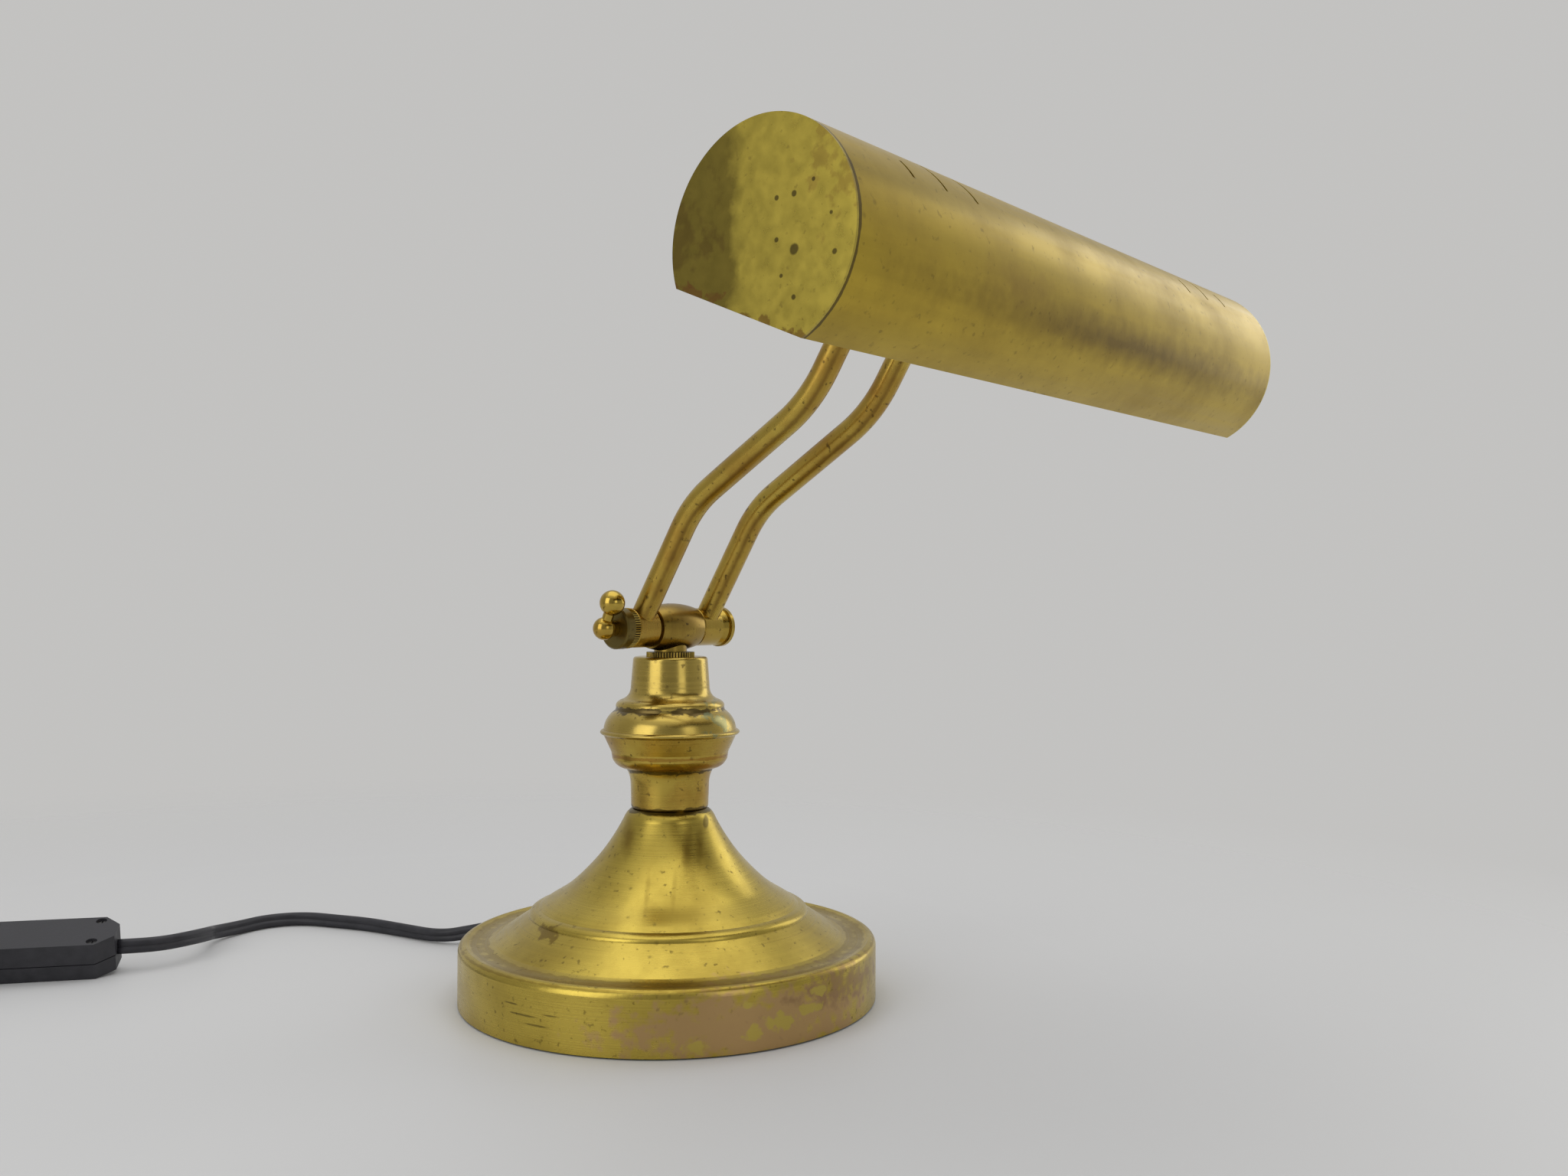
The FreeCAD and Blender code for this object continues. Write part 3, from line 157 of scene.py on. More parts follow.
clear = add_node(tree, "ShaderNodeBsdfTransparent")
looking = add_node(tree, "ShaderNodeLightPath").outputs["Is Camera Ray"]
share = add_node(tree, "ShaderNodeMath", operation="MULTIPLY", i0=fade, i1=looking).outputs[0]
mix = add_node(tree, "ShaderNodeMixShader")
tree.links.new(share, mix.inputs[0])
tree.links.new(surface.outputs[0], mix.inputs[1])
tree.links.new(clear.outputs[0], mix.inputs[2])
tree.links.new(mix.outputs[0], tree.nodes["Material Output"].inputs["Surface"])
table.data.materials.append(paper)


# Cord: a flat black two-core lead, soft plastic with a groove between its cores. It stands on its
# edge on the table, from the strain relief to the inline switch and on to the coil and the plug.
cord_width = 0.0068
cord_thickness = 0.0038
cord_core = cord_thickness / 2
core_points = 12
core_arc = 284
cord_route = (
    (0.0, 0.1161, 0.0086), (0.0, 0.1255, 0.0086),
    (-0.0029, 0.1343, 0.0062), (-0.0127, 0.1462, 0.0037), (-0.0162, 0.1739, 0.00345),
    (-0.0203, 0.1972, 0.0035), (-0.0269, 0.2150, 0.00345), (-0.0343, 0.2343, 0.0035),
    (-0.0504, 0.2436, 0.00345), (-0.0686, 0.2409, 0.00345), (-0.0851, 0.2345, 0.0050),
    (-0.0942, 0.2195, 0.0086), (-0.1088, 0.2084, 0.0110), (-0.1223, 0.2064, 0.0114),
    (-0.1324, 0.2091, 0.01171), (-0.1403, 0.2150, 0.01171))
switch_heading = math.radians(-36.87)
along = Vector((math.cos(switch_heading), math.sin(switch_heading), 0.0))
switch_length = 0.062
far_tip = Vector(cord_route[-1]) - along * switch_length


def leaving(start, direction, steps, length, height):
    """Points of a lead that leaves start level and falls: distance along, aside, share of the fall."""
    aside = Vector((-direction.y, direction.x, 0.0))
    points = [start.copy()]
    for run, left, share in steps:
        spot = start + direction * run + aside * left
        spot.z = start.z + (height - start.z) * share
        points.append(spot)
    end = start + direction * length
    end.z = height
    return points + [end]


cord_floor = 0.00345
lead_length = 0.046
lead_in = leaving(far_tip, -along, ((0.010, 0.0, 0.0), (0.019, 0.0005, 0.25), (0.028, -0.0005, 0.74),
                                    (0.0365, 0.0, 1.0)), lead_length, cord_floor)
coil_outer = 0.046
coil_pitch = 0.0045
coil_layer = 0.0074
coil_start = math.radians(53.13)
coil_turns = 2.676
coil_points = 16
coil_centre = lead_in[-1] - Vector((math.cos(coil_start), math.sin(coil_start), 0.0)) * coil_outer
coil = []
for step in range(1, int(2 * coil_turns * coil_points)):
    turns = step / coil_points
    angle = coil_start + 2 * math.pi * turns
    radius = coil_outer - coil_pitch * (coil_turns - abs(turns - coil_turns))
    radius /= math.cos(math.pi / coil_points)
    climb = min(max((turns - coil_turns) * 2 + 0.5, 0.0), 1.0)
    height = coil_layer * climb * climb * (3 - 2 * climb)
    coil.append(coil_centre + Vector((radius * math.cos(angle), radius * math.sin(angle), height)))
end_angle = coil_start + 4 * math.pi * coil_turns
coil_end = coil_centre + Vector((coil_outer * math.cos(end_angle), coil_outer * math.sin(end_angle),
                                 coil_layer))
end_way = Vector((-math.sin(end_angle), math.cos(end_angle), 0.0))
plug_thickness = 0.0137
lead_out = leaving(coil_end, end_way, ((0.009, 0.0, 0.0), (0.018, -0.0015, 0.12), (0.028, -0.0015, 0.75),
                                       (0.037, 0.0, 1.0)), lead_length, plug_thickness / 2)
lead_route = lead_in[:-1] + coil + lead_out[1:]


def core_outline():
    """Figure of eight across the cord: two round cores with a groove between them."""
    middle = cord_width / 2 - cord_core
    points = []
    for side, first in ((1, -52), (-1, 128)):
        for step in range(core_points):
            angle = math.radians(first + core_arc * step / (core_points - 1))
            points.append((cord_core * math.cos(angle), side * middle + cord_core * math.sin(angle)))
    return points


def linked(name, data):
    piece = bpy.data.objects.new(name, data)
    bpy.context.scene.collection.objects.link(piece)
    return piece


def mesh_of(holder):
    """The mesh that a curve object shows."""
    bpy.context.view_layer.update()
    shown = holder.evaluated_get(bpy.context.evaluated_depsgraph_get())
    return bpy.data.meshes.new_from_object(shown)


def cord_mesh(name, route, twists):
    """Two-core lead swept along a smooth line; twists, in degrees, turn it at some of its points."""
    data = bpy.data.curves.new(name, "CURVE")
    data.dimensions = "3D"
    data.twist_mode = "Z_UP"
    data.resolution_u = 8
    spline = data.splines.new("NURBS")
    spline.points.add(len(route) - 1)
    for index, (point, spot) in enumerate(zip(spline.points, route)):
        point.co = (*spot, 1.0)
        point.tilt = math.radians(twists.get(index, 0.0))
    spline.order_u = 3
    spline.use_endpoint_u = True
    holder = linked(name + "_line", data)
    line_mesh = mesh_of(holder)
    line = [vertex.co.copy() for vertex in line_mesh.vertices]
    bpy.data.meshes.remove(line_mesh)

    section = bpy.data.curves.new("section", "CURVE")
    section.dimensions = "2D"
    outline = core_outline()
    ring = section.splines.new("POLY")
    ring.points.add(len(outline) - 1)
    for point, (x, y) in zip(ring.points, outline):
        point.co = (x, y, 0.0, 1.0)
    ring.use_cyclic_u = True
    section_holder = linked("section", section)
    data.bevel_mode = "OBJECT"
    data.bevel_object = section_holder
    data.use_fill_caps = True
    piece = linked(name, mesh_of(holder))
    bpy.data.objects.remove(holder)
    bpy.data.objects.remove(section_holder)
    work = bmesh.new()
    work.from_mesh(piece.data)
    bmesh.ops.remove_doubles(work, verts=work.verts, dist=1e-6)
    bmesh.ops.recalc_face_normals(work, faces=work.faces)
    work.to_mesh(piece.data)
    work.free()
    piece.data.shade_smooth()
    return piece, line


def length_of(line):
    return sum((b - a).length for a, b in zip(line, line[1:]))


rubber, tree, surface = new_material("cord_plastic")
spot = add_node(tree, "ShaderNodeTexCoord").outputs["Object"]
dust = add_node(tree, "ShaderNodeTexNoise", Vector=spot, Scale=140.0, Detail=4.0).outputs["Fac"]
black = ramp(tree, dust, [(0.35, (0.010, 0.010, 0.014)), (0.75, (0.028, 0.027, 0.034))])
tree.links.new(black, surface.inputs["Base Color"])
gloss = ramp(tree, dust, [(0.3, 0.42), (0.8, 0.60)])
tree.links.new(gloss, surface.inputs["Roughness"])
grain = add_node(tree, "ShaderNodeTexNoise", Vector=spot, Scale=900.0, Detail=2.0).outputs["Fac"]
bump = add_node(tree, "ShaderNodeBump", Strength=0.25, Distance=0.00008, Height=grain).outputs[0]
tree.links.new(bump, surface.inputs["Normal"])

cord_twists = {7: 12.0, 8: 25.0, 9: 10.0, 3: -18.0, 4: -8.0}
cord, cord_line = cord_mesh("lamp_cord", cord_route, cord_twists)
cord.data.materials.append(rubber)
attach(cord, "base")
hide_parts("cord_to_switch")

lead, lead_line = cord_mesh("plug_cord", lead_route, {})
lead.data.materials.append(rubber)
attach(lead, "base")
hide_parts("cord_to_coil", "cord_coil", "cord_to_plug")

for name in ("cord_grommet", "column_lead", "arm_lead", "shade_leads"):
    nodes[name].data.materials.clear()
    nodes[name].data.materials.append(rubber)


# Base cover: brass spun over a form, lacquered long ago. The lacquer is worn off the front of the
# skirt down to a copper blush, and fine circular lines from the spinning run round every slope.
# Narrow upright dark strips on the cone are painted reflections.
def group_of(name, sockets):
    """An empty shader group; sockets are (name, kind, default), outputs have no default."""
    made = bpy.data.node_groups.new(name, "ShaderNodeTree")
    for title, kind, default in sockets:
        side = "OUTPUT" if default is None else "INPUT"
        socket = made.interface.new_socket(title, in_out=side, socket_type="NodeSocket" + kind)
        if default is not None:
            socket.default_value = default
    return made, made.nodes.new("NodeGroupInput"), made.nodes.new("NodeGroupOutput")


def blend_colour(tree, factor, first, second, blend_type="MIX"):
    node = add_node(tree, "ShaderNodeMix", data_type="RGBA", blend_type=blend_type)
    put(tree, node.inputs[0], factor)
    for index, colour in ((6, first), (7, second)):
        put(tree, node.inputs[index], colour if isinstance(colour, bpy.types.NodeSocket) else (*colour, 1.0))
    return node.outputs[2]


def value_of(tree, operation, first, second):
    return add_node(tree, "ShaderNodeMath", operation=operation, i0=first, i1=second).outputs[0]


def stretch(tree, value, low, high, to_low=0.0, to_high=1.0):
    return add_node(tree, "ShaderNodeMapRange", Value=value, From_Min=low, From_Max=high,
                    To_Min=to_low, To_Max=to_high).outputs[0]


# A patch round a place on the piece, with a ragged edge: wear, stains and painted reflections
patch_rim = 1.1
patch_reach = 1.05
ragged_gain = 4.0
patch_group, given, result = group_of("wear_and_reflection_patch", [
    ("Position", "Vector", (0, 0, 0)), ("Centre", "Vector", (0, 0, 0)),
    ("Size", "Vector", (0.01, 0.01, 0.01)),
    ("Ragged", "Float", 0.5), ("Softness", "Float", 0.3), ("Fac", "Float", None)])
away = add_node(patch_group, "ShaderNodeVectorMath", operation="SUBTRACT", i0=given.outputs[0],
                i1=given.outputs[1]).outputs[0]
away = add_node(patch_group, "ShaderNodeVectorMath", operation="DIVIDE", i0=away,
                i1=given.outputs[2]).outputs[0]
away = add_node(patch_group, "ShaderNodeVectorMath", operation="LENGTH", i0=away).outputs["Value"]
rough_edge = add_node(patch_group, "ShaderNodeTexNoise", Vector=given.outputs[0], Scale=190.0,
                      Detail=6.0).outputs["Fac"]
rough_edge = value_of(patch_group, "SUBTRACT", rough_edge, 0.5)
rough_edge = value_of(patch_group, "MULTIPLY", rough_edge, given.outputs[3])
edge = value_of(patch_group, "ADD", away, value_of(patch_group, "MULTIPLY", rough_edge, ragged_gain))
inner = value_of(patch_group, "SUBTRACT", patch_reach, given.outputs[4])
patch_group.links.new(stretch(patch_group, edge, patch_rim, inner), result.inputs[0])

# Old lacquered brass: cloudy colour, lines along the Grain, dark specks, and pits through the lacquer
pit_brown = (0.05, 0.03, 0.012)
brass_group, given, result = group_of("aged_brass", [
    ("Position", "Vector", (0, 0, 0)), ("Grain", "Vector", (0, 0, 0)),
    ("Clean", "Color", (0.5, 0.37, 0.1, 1)), ("Tarnish", "Color", (0.17, 0.11, 0.025, 1)),
    ("Clouds", "Float", 0.5), ("Specks", "Float", 0.5), ("Dullness", "Float", 0.3),
    ("Color", "Color", None), ("Roughness", "Float", None), ("Height", "Float", None)])
cloud = add_node(brass_group, "ShaderNodeTexNoise", Vector=given.outputs[0], Scale=28.0, Detail=7.0,
                 Roughness=0.62).outputs["Fac"]
cloud = value_of(brass_group, "MULTIPLY", stretch(brass_group, cloud, 0.42, 0.74), given.outputs[4])
lines = add_node(brass_group, "ShaderNodeTexNoise", Vector=given.outputs[1], Scale=1.0,
                 Detail=4.0).outputs["Fac"]
speck = add_node(brass_group, "ShaderNodeTexNoise", Vector=given.outputs[0], Scale=420.0,
                 Detail=3.0).outputs["Fac"]
speck = value_of(brass_group, "MULTIPLY", stretch(brass_group, speck, 0.63, 0.72), given.outputs[5])
pits = add_node(brass_group, "ShaderNodeTexVoronoi", Vector=given.outputs[0], Scale=150.0).outputs["Distance"]
where = add_node(brass_group, "ShaderNodeTexNoise", Vector=given.outputs[0], Scale=34.0,
                 Detail=2.0).outputs["Fac"]
pits = value_of(brass_group, "MULTIPLY", stretch(brass_group, pits, 0.17, 0.06),
                stretch(brass_group, where, 0.5, 0.66))
pits = value_of(brass_group, "MULTIPLY", pits, given.outputs[5])
worn = value_of(brass_group, "MAXIMUM", speck, pits)
colour = blend_colour(brass_group, cloud, given.outputs[2], given.outputs[3])
shine = stretch(brass_group, lines, 0.3, 0.7, 0.93, 1.06)
colour = blend_colour(brass_group, 1.0, colour, add_node(brass_group, "ShaderNodeCombineColor", Red=shine,
                      Green=shine, Blue=shine).outputs[0], "MULTIPLY")
colour = blend_colour(brass_group, value_of(brass_group, "MULTIPLY", worn, 0.85), colour, pit_brown)
brass_group.links.new(colour, result.inputs[0])
rough = value_of(brass_group, "ADD", value_of(brass_group, "ADD", given.outputs[6],
                                              stretch(brass_group, lines, 0.3, 0.7, -0.04, 0.04)),
                 value_of(brass_group, "MULTIPLY", value_of(brass_group, "MAXIMUM", cloud, worn), 0.22))
brass_group.links.new(rough, result.inputs[1])
relief = value_of(brass_group, "SUBTRACT", value_of(brass_group, "MULTIPLY", lines, 0.3), pits)
brass_group.links.new(relief, result.inputs[2])

brass_clean = (0.52, 0.39, 0.070)
brass_dark = (0.20, 0.125, 0.018)
rust_brown = (0.30, 0.13, 0.02)
grime = (0.035, 0.024, 0.012)


def spun_grain(tree, spot):
    """Coordinates that change fast with the radius and the height, and hardly round the axis."""
    parts = add_node(tree, "ShaderNodeSeparateXYZ", Vector=spot)
    across = add_node(tree, "ShaderNodeCombineXYZ", X=parts.outputs["X"], Y=parts.outputs["Y"]).outputs[0]
    radius = add_node(tree, "ShaderNodeVectorMath", operation="LENGTH", i0=across).outputs["Value"]
    return add_node(tree, "ShaderNodeCombineXYZ", X=value_of(tree, "MULTIPLY", radius, 1500.0),
                    Y=value_of(tree, "MULTIPLY", parts.outputs["Z"], 1500.0)).outputs[0]


def brass_material(name, grain, stains_and_reflections=(), clean=brass_clean, clouds=0.5, specks=0.5, placed=None,
                   dullness=0.3, tarnish=brass_dark):
    """Aged brass; stains and painted reflections come as (centre, half sizes, raggedness, colour, strength,
    softness) in its frame.
    """
    made, tree, surface = new_material(name)
    spot = add_node(tree, "ShaderNodeTexCoord").outputs["Object"]
    if placed:
        spot = add_node(tree, "ShaderNodeMapping", vector_type="TEXTURE", Vector=spot, Location=placed[0],
                        Rotation=placed[1]).outputs[0]
    brass = tree.nodes.new("ShaderNodeGroup")
    brass.node_tree = brass_group
    for key, value in (("Position", spot), ("Grain", grain(tree, spot)), ("Clean", (*clean, 1.0)),
                       ("Tarnish", (*tarnish, 1.0)), ("Clouds", clouds), ("Specks", specks),
                       ("Dullness", dullness)):
        put(tree, brass.inputs[key], value)
    colour = brass.outputs["Color"]
    rough = brass.outputs["Roughness"]
    for centre, size, ragged, stain_and_reflection_colour, strength, *softness in stains_and_reflections:
        patch = tree.nodes.new("ShaderNodeGroup")
        patch.node_tree = patch_group
        for key, value in (("Position", spot), ("Centre", centre), ("Size", size), ("Ragged", ragged),
                           ("Softness", softness[0] if softness else 0.3)):
            put(tree, patch.inputs[key], value)
        share = value_of(tree, "MULTIPLY", patch.outputs[0], strength)
        colour = blend_colour(tree, share, colour, stain_and_reflection_colour)
        rough = value_of(tree, "ADD", rough, value_of(tree, "MULTIPLY", share, 0.05))
    put(tree, surface.inputs["Base Color"], colour)
    put(tree, surface.inputs["Roughness"], rough)
    surface.inputs["Metallic"].default_value = 1.0
    surface.inputs["Coat Weight"].default_value = 0.05
    surface.inputs["Coat Roughness"].default_value = 0.25
    bump = add_node(tree, "ShaderNodeBump", Strength=0.2, Distance=0.0001, Height=brass.outputs["Height"])
    put(tree, surface.inputs["Normal"], bump.outputs[0])
    return made


def dress(material, *names):
    for name in names:
        nodes[name].data.materials.clear()
        nodes[name].data.materials.append(material)


# Across, away and up, as one stands before the lamp's front
front = ((0.0, 0.0, 0.0), (0.0, 0.0, math.radians(-camera_yaw)))
base_radius = 0.09
# A half size that takes a stain all round the piece
all_round = 0.2
copper = (0.45, 0.285, 0.135)
islands = [((u, -math.sqrt(base_radius ** 2 - u ** 2), z), (size, 0.02, size * 0.6), 1.0,
            (0.50, 0.39, 0.08), 0.85)
           for u, z, size in ((0.0497, 0.0101, 0.006), (0.0600, 0.0130, 0.004), (0.0395, 0.0080, 0.004),
                              (0.0370, 0.0190, 0.003), (0.0645, 0.0190, 0.003), (0.0180, 0.0050, 0.005))]
scratches = [((u, -0.07, z), (length, 0.03, 0.0004), 0.35, grime, 0.6)
             for u, z, length in ((-0.050, 0.0125, 0.007), (-0.044, 0.0095, 0.006), (-0.055, 0.0160, 0.003),
                                  (-0.038, 0.0140, 0.004))]
copper_wear = [
    ((0.042, -0.080, 0.010), (0.058, 0.060, 0.0135), 0.6, copper, 0.85, 0.4),
    ((0.075, -0.050, 0.018), (0.022, 0.040, 0.007), 1.0, (0.27, 0.16, 0.08), 0.6, 0.6)]
# Cone: a stain by the step ring, dirt at the column's foot, and five dark strips painted as reflections
cone_stains_and_painted_reflections = [
    ((-0.0448, -0.040, 0.0355), (0.006, 0.010, 0.0022), 0.9, brass_dark, 0.8),
    ((-0.0164, -0.015, 0.0700), (0.0036, 0.012, 0.010), 0.3, brass_dark, 0.75, 0.9),
    ((0.0092, -0.022, 0.0660), (0.0024, 0.012, 0.012), 0.3, brass_dark, 0.8, 0.8),
    ((0.0145, -0.018, 0.0660), (0.0020, 0.012, 0.011), 0.3, brass_dark, 0.8, 0.8),
    ((0.0163, -0.011, 0.0766), (0.0012, 0.004, 0.003), 0.3, grime, 0.6),
    ((-0.006, -0.033, 0.047), (0.0014, 0.016, 0.013), 0.3, brass_dark, 0.5, 0.9),
    ((0.005, -0.033, 0.047), (0.0014, 0.016, 0.013), 0.3, brass_dark, 0.5, 0.9)]
# A dark line in the gap at the column's foot, and a darker ring round the top of the rim
dark_rings = [
    ((0.0, 0.0, 0.0805), (all_round, all_round, 0.0008), 0.8, grime, 0.7),
    ((0.0, 0.0, 0.0252), (all_round, all_round, 0.0004), 0.6, brass_dark, 0.5)]
dress(brass_material("base_brass", spun_grain, copper_wear + islands + scratches + cone_stains_and_painted_reflections + dark_rings,
                     clouds=0.5, specks=0.6, placed=front, dullness=0.26), "base_shell")


# Column: two spun bowls rim to rim, with a turned bead. Damp has browned the lower bowl, and the
# notch under the upper bead is corroded, with a little verdigris on its right.
dress(brass_material("lower_bowl_brass", spun_grain, [
    ((0.0, 0.0, 0.1042), (all_round, all_round, 0.0007), 0.8, rust_brown, 0.6),
    ((0.0, 0.0, 0.1005), (all_round, all_round, 0.0010), 0.9, rust_brown, 0.5),
    ((0.0, 0.0, 0.0979), (all_round, all_round, 0.0008), 1.2, grime, 0.8),
    ((0.0, 0.0, 0.0817), (all_round, all_round, 0.0008), 1.2, grime, 0.7)],
    clean=(0.50, 0.36, 0.065), clouds=0.8, specks=0.8, placed=front, dullness=0.22, tarnish=rust_brown),
      "column_lower_shell")
dress(brass_material("upper_bowl_brass", spun_grain, [
    ((0.0, 0.0, 0.1243), (all_round, all_round, 0.0012), 1.3, (0.06, 0.04, 0.02), 0.8),
    ((0.0225, -0.014, 0.1215), (0.005, 0.010, 0.005), 1.8, (0.22, 0.26, 0.14), 0.6),
    ((0.0, 0.0, 0.1126), (all_round, all_round, 0.0004), 0.8, grime, 0.7)],
    clean=(0.52, 0.38, 0.09), clouds=0.55, specks=0.6, placed=front, dullness=0.21),
      "column_upper_shell", "column_plug")


# Pivots: turned knuckles, hubs and caps, handled more than the rest and browned all over. The lock
# nuts and the ring by the key are knurled, with dirt and painted shade between their teeth, and the
# key's nut is painted dark, partly patina and partly shade.
def turned_grain(tree, spot):
    """Lines round the pivots' own axis, which lies along X."""
    x = add_node(tree, "ShaderNodeSeparateXYZ", Vector=spot).outputs["X"]
    return add_node(tree, "ShaderNodeCombineXYZ", X=value_of(tree, "MULTIPLY", x, 1800.0)).outputs[0]


dress(brass_material("knuckle_brass", turned_grain, clean=(0.37, 0.25, 0.046), clouds=1.0, specks=1.0,
                     dullness=0.24, tarnish=(0.16, 0.085, 0.02)),
      "lower_knuckle", "upper_knuckle", "shade_collar")
dress(brass_material("hub_brass", turned_grain, clean=(0.43, 0.295, 0.054), clouds=0.85, specks=0.8,
                     dullness=0.2, tarnish=rust_brown),
      "lower_left_hub", "lower_right_hub", "upper_left_hub", "upper_right_hub", "lower_right_cap",
      "upper_left_cap", "upper_right_cap", "lower_friction_washers", "upper_friction_washers")
dress(brass_material("key_brass", turned_grain, clean=(0.50, 0.355, 0.065), clouds=0.6, specks=0.35,
                     dullness=0.13, tarnish=rust_brown), "clamp_key")
# The key's nut is near black: partly patina, partly painted shade of its shadowed face
dress(brass_material("key_nut_patina_and_shade", turned_grain, clean=(0.15, 0.115, 0.035), clouds=0.6, specks=0.6),
      "key_nut")

knurled_ring_radius = 0.0086
lock_nut_radius = 0.0105
knurl_tips = 0.00016
knurl_roots = 0.00034
knurl_dirt_and_shade = (0.045, 0.030, 0.012)


def knurled_material(name, place, turn, axis, radius):
    """Dull brass with dirt and painted shade below the tips of its knurling; axis is X, Y or Z once placed.
    """
    made = brass_material(name, turned_grain, clean=(0.46, 0.33, 0.07), clouds=0.6, specks=0.6,
                          placed=(place, turn))
    tree = made.node_tree
    surface = tree.nodes["Principled BSDF"]
    spot = next(node for node in tree.nodes if node.bl_idname == "ShaderNodeMapping").outputs[0]
    away = [1.0 if letter != axis else 0.0 for letter in "XYZ"]
    flat = add_node(tree, "ShaderNodeVectorMath", operation="MULTIPLY", i0=spot, i1=away).outputs[0]
    reach = add_node(tree, "ShaderNodeVectorMath", operation="LENGTH", i0=flat).outputs["Value"]
    # Dirt and painted shade in the grooves of the knurling
    groove = stretch(tree, reach, radius - knurl_tips, radius - knurl_roots)
    under = surface.inputs["Base Color"].links[0].from_socket
    put(tree, surface.inputs["Base Color"], blend_colour(tree, groove, under, knurl_dirt_and_shade))
    return made


pivot = (0.0, 0.0, 0.1595)
level = (0.0, 0.0, 0.0)
shade_middle = (0.0, -0.1765, 0.2723)
shade_turn = (math.radians(23.0), 0.0, 0.0)
dress(knurled_material("knurled_ring_brass", pivot, level, "X", knurled_ring_radius), "knurled_ring")
dress(knurled_material("lower_lock_nut_brass", pivot, level, "Z", lock_nut_radius), "lock_nut")
dress(knurled_material("upper_lock_nut_brass", shade_middle, shade_turn, "Y", lock_nut_radius),
      "upper_lock_nut")


# Arms: two lengths of drawn brass tube, bent alike. A brown streak runs along each of them, and the
# lacquer has browned in clouds.
def drawn_grain(tree, spot):
    """Lines along the tubes, which lie in planes across X."""
    parts = add_node(tree, "ShaderNodeSeparateXYZ", Vector=spot)
    return add_node(tree, "ShaderNodeCombineXYZ", X=value_of(tree, "MULTIPLY", parts.outputs["X"], 1400.0),
                    Y=value_of(tree, "MULTIPLY", parts.outputs["Y"], 14.0),
                    Z=value_of(tree, "MULTIPLY", parts.outputs["Z"], 14.0)).outputs[0]


arm_streaks = [((x, -0.08, 0.22), (0.0010, all_round, all_round), 0.25, (0.17, 0.09, 0.02), 0.65, 0.8)
               for x in (-0.0232, 0.0170)]
dress(brass_material("arm_brass", drawn_grain, arm_streaks, clean=(0.50, 0.355, 0.065), clouds=0.8,
                     specks=0.8, dullness=0.24, tarnish=rust_brown), "left_arm_tube", "right_arm_tube")


# Shade: rolled sheet brass with two flat ends soldered in. Polishing went lengthwise, and the near
# end has dark spots where the lacquer let go. A dark band along the front and a dark third of the
# near end are painted reflections.
def rolled_grain(tree, spot):
    """Lines along the shade, which lies along X."""
    parts = add_node(tree, "ShaderNodeSeparateXYZ", Vector=spot)
    return add_node(tree, "ShaderNodeCombineXYZ", X=value_of(tree, "MULTIPLY", parts.outputs["X"], 9.0),
                    Y=value_of(tree, "MULTIPLY", parts.outputs["Y"], 260.0),
                    Z=value_of(tree, "MULTIPLY", parts.outputs["Z"], 260.0)).outputs[0]


dress(brass_material("shade_brass", rolled_grain, [
    # Painted reflection: a soft dark band along the front at mid height, the dark part of the room
    ((0.020, -0.032, -0.011), (0.140, 0.020, 0.0080), 0.2, (0.17, 0.105, 0.012), 0.9, 0.95),
    ((-0.060, -0.030, -0.003), (0.024, 0.020, 0.0070), 0.3, (0.30, 0.19, 0.03), 0.6, 0.9),
    ((0.050, -0.020, -0.025), (0.050, 0.020, 0.0080), 0.3, (0.33, 0.22, 0.03), 0.5, 0.9),
    ((-0.1441, 0.0, 0.0), (0.0006, all_round, all_round), 0.6, grime, 0.75)],
    clean=(0.47, 0.33, 0.036), clouds=0.45, specks=0.35, placed=(shade_middle, level),
    dullness=0.33), "shade_shell")
end_x = 0.1455
cap_spots = [((-end_x, y, z), (0.004, size, size), 0.25, grime, 0.8) for y, z, size in (
    (-0.0124, -0.0058, 0.0016), (-0.0061, -0.0023, 0.0008), (-0.0061, 0.0092, 0.0008),
    (-0.0123, 0.0093, 0.0009), (-0.0262, -0.0086, 0.0009), (-0.0122, -0.0188, 0.0008),
    (-0.0078, -0.0124, 0.0007), (-0.0250, 0.0020, 0.0006), (-0.0190, 0.0120, 0.0006))]
# Brown dirt along the straight lower edge, from its front corner to its back one
edge_front = (-0.0148, -0.0302)
edge_run = (0.0468, 0.0199)
edge_patches = 8
lower_edge = [((-end_x, edge_front[0] + edge_run[0] * k / (edge_patches - 1),
                edge_front[1] + edge_run[1] * k / (edge_patches - 1)), (0.004, 0.0042, 0.0022), 1.6,
               (0.16, 0.075, 0.02), 0.7) for k in range(edge_patches)]
# A dark third towards the back, painted as the reflection of the dark room, with a brown
# patch in it and a tan one at the front
painted_reflection_and_stains = [((-end_x, 0.0350, 0.0), (0.004, 0.0265, all_round), 0.10, (0.16, 0.12, 0.022), 0.85, 0.16),
          ((-end_x, 0.0280, 0.004), (0.004, 0.0100, 0.012), 1.2, (0.10, 0.06, 0.015), 0.5, 0.6),
          ((-end_x, -0.0240, 0.016), (0.004, 0.0060, 0.012), 1.6, (0.30, 0.20, 0.04), 0.6, 0.5)]
dress(brass_material("end_cap_brass", rolled_grain, painted_reflection_and_stains + cap_spots + lower_edge,
                     clean=(0.50, 0.39, 0.065), clouds=0.16, specks=0.45, placed=(shade_middle, level)),
      "left_end_cap", "right_end_cap")


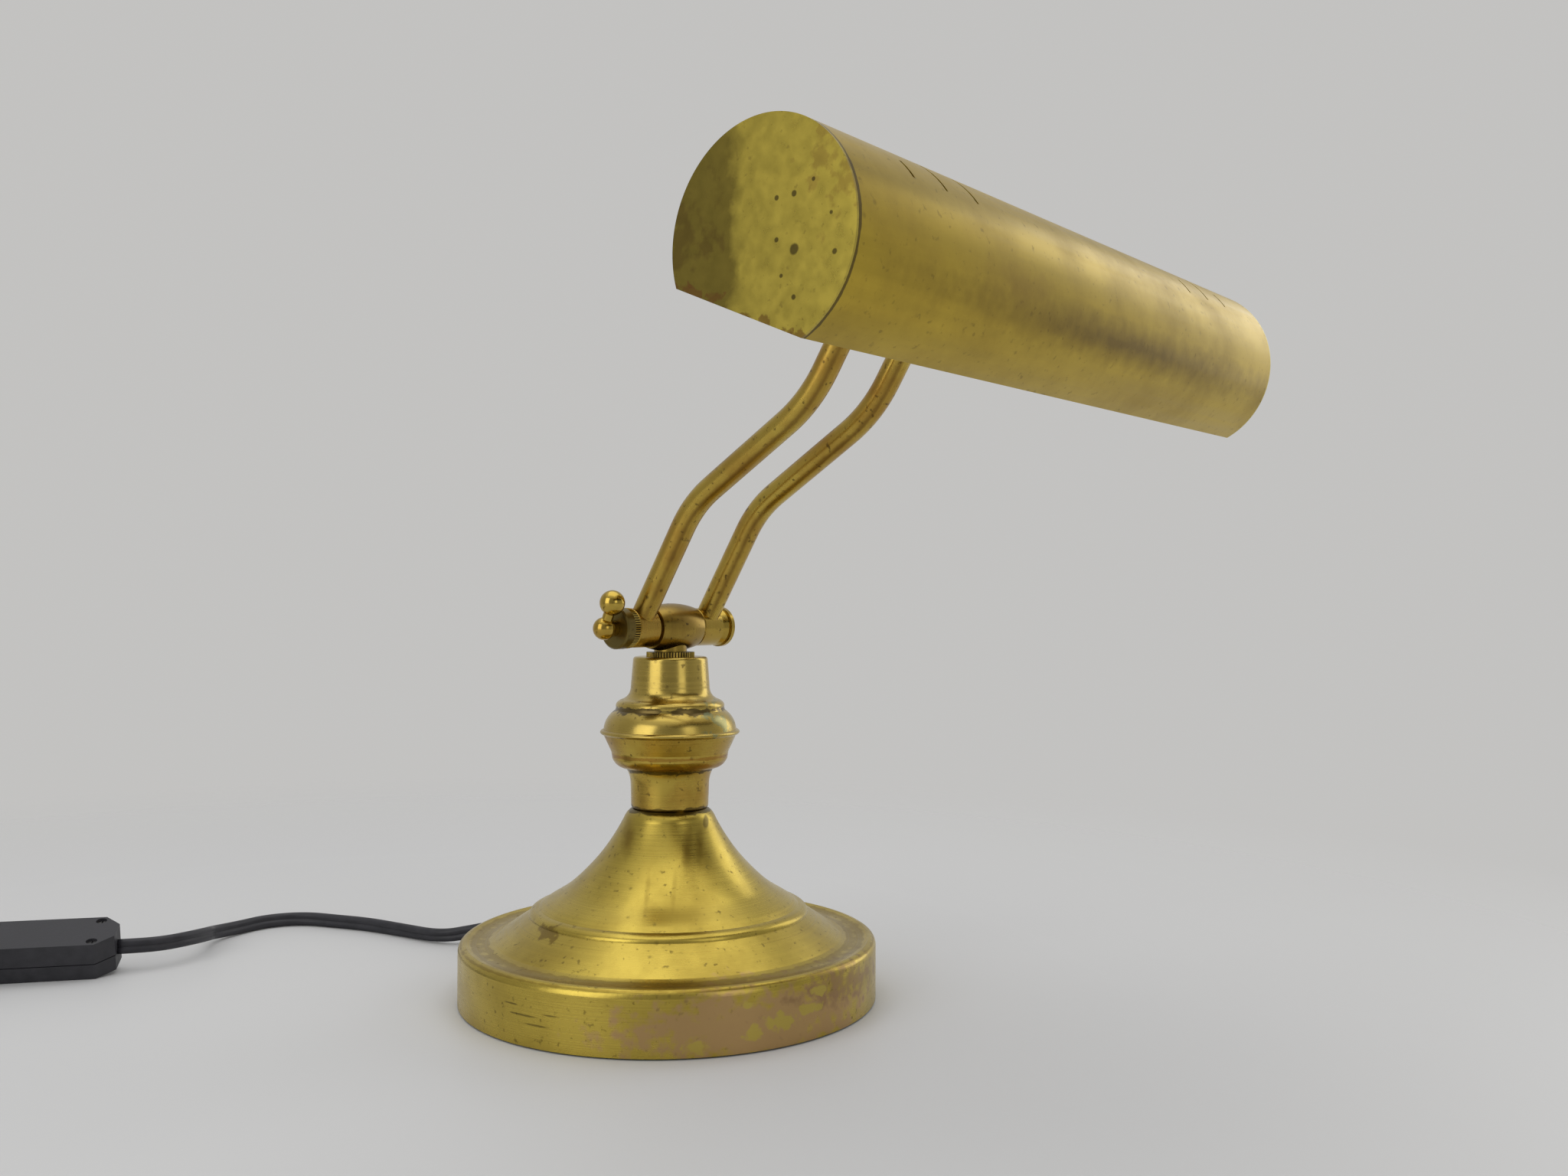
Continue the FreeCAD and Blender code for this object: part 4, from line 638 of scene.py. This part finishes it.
# Hidden ironmongery: the cast iron weight, the threaded steel rod with its nut and washer, the cross
# bolts, the holder's bracket with its nut, and the switch's screws, which are steel too. A green
# baize disc closes the base underneath.
def plain_material(name, dark, light, scale, metallic, low, high, relief=0.00006):
    """A finish that varies between two colours and two roughnesses, with a fine surface relief."""
    made, tree, surface = new_material(name)
    spot = add_node(tree, "ShaderNodeTexCoord").outputs["Object"]
    mottle = add_node(tree, "ShaderNodeTexNoise", Vector=spot, Scale=scale, Detail=5.0).outputs["Fac"]
    put(tree, surface.inputs["Base Color"], ramp(tree, mottle, [(0.32, dark), (0.68, light)]))
    put(tree, surface.inputs["Roughness"], stretch(tree, mottle, 0.3, 0.7, low, high))
    surface.inputs["Metallic"].default_value = metallic
    grain = add_node(tree, "ShaderNodeTexNoise", Vector=spot, Scale=scale * 6, Detail=2.0).outputs["Fac"]
    put(tree, surface.inputs["Normal"], add_node(tree, "ShaderNodeBump", Strength=0.4, Distance=relief,
                                                 Height=grain).outputs[0])
    return made


dress(plain_material("cast_iron", (0.03, 0.028, 0.026), (0.07, 0.06, 0.05), 90.0, 0.8, 0.55, 0.8, 0.0002),
      "base_weight")
dress(plain_material("baize", (0.012, 0.05, 0.022), (0.03, 0.095, 0.045), 500.0, 0.0, 0.9, 1.0, 0.0003),
      "base_felt")
dress(plain_material("steel", (0.30, 0.30, 0.30), (0.48, 0.47, 0.45), 120.0, 1.0, 0.3, 0.5),
      "center_rod", "rod_washer", "rod_nut", "lower_bolt", "upper_bolt", "stem_nut", "holder_bracket",
      "switch_screws")


# Lampholders: two brown-black moulded shells, back to back on their bracket. Each takes a frosted
# tubular lamp with a plated cap.
dress(plain_material("holder_plastic", (0.012, 0.010, 0.009), (0.03, 0.026, 0.022), 60.0, 0.0, 0.35, 0.5),
      "left_lampholder", "right_lampholder")
dress(plain_material("lamp_plating", (0.50, 0.49, 0.46), (0.66, 0.64, 0.60), 160.0, 1.0, 0.25, 0.4),
      "left_lamp_cap", "right_lamp_cap")
frosted = plain_material("frosted_glass", (0.78, 0.78, 0.75), (0.86, 0.86, 0.84), 70.0, 0.0, 0.3, 0.45,
                         0.00002)
frosted.node_tree.nodes["Principled BSDF"].inputs["Transmission Weight"].default_value = 0.55
dress(frosted, "left_lamp_glass", "right_lamp_glass")


# Switch and plug: matte black moulded plastic with a fine grain from the mould. The rocker is
# smoother, and the terminals and plug pins are bright brass.
dress(plain_material("switch_plastic", (0.016, 0.016, 0.020), (0.030, 0.029, 0.035), 220.0, 0.0, 0.42, 0.6,
                     0.0001),
      "switch_base", "switch_cover", "plug_body")
dress(plain_material("rocker_plastic", (0.013, 0.013, 0.016), (0.022, 0.022, 0.026), 120.0, 0.0, 0.28, 0.4),
      "switch_rocker")
dress(plain_material("bright_brass", (0.55, 0.41, 0.16), (0.66, 0.50, 0.22), 160.0, 1.0, 0.2, 0.35),
      "switch_terminals", "plug_pins")

print("cord lengths", round(length_of(cord_line), 4), round(length_of(lead_line), 4))
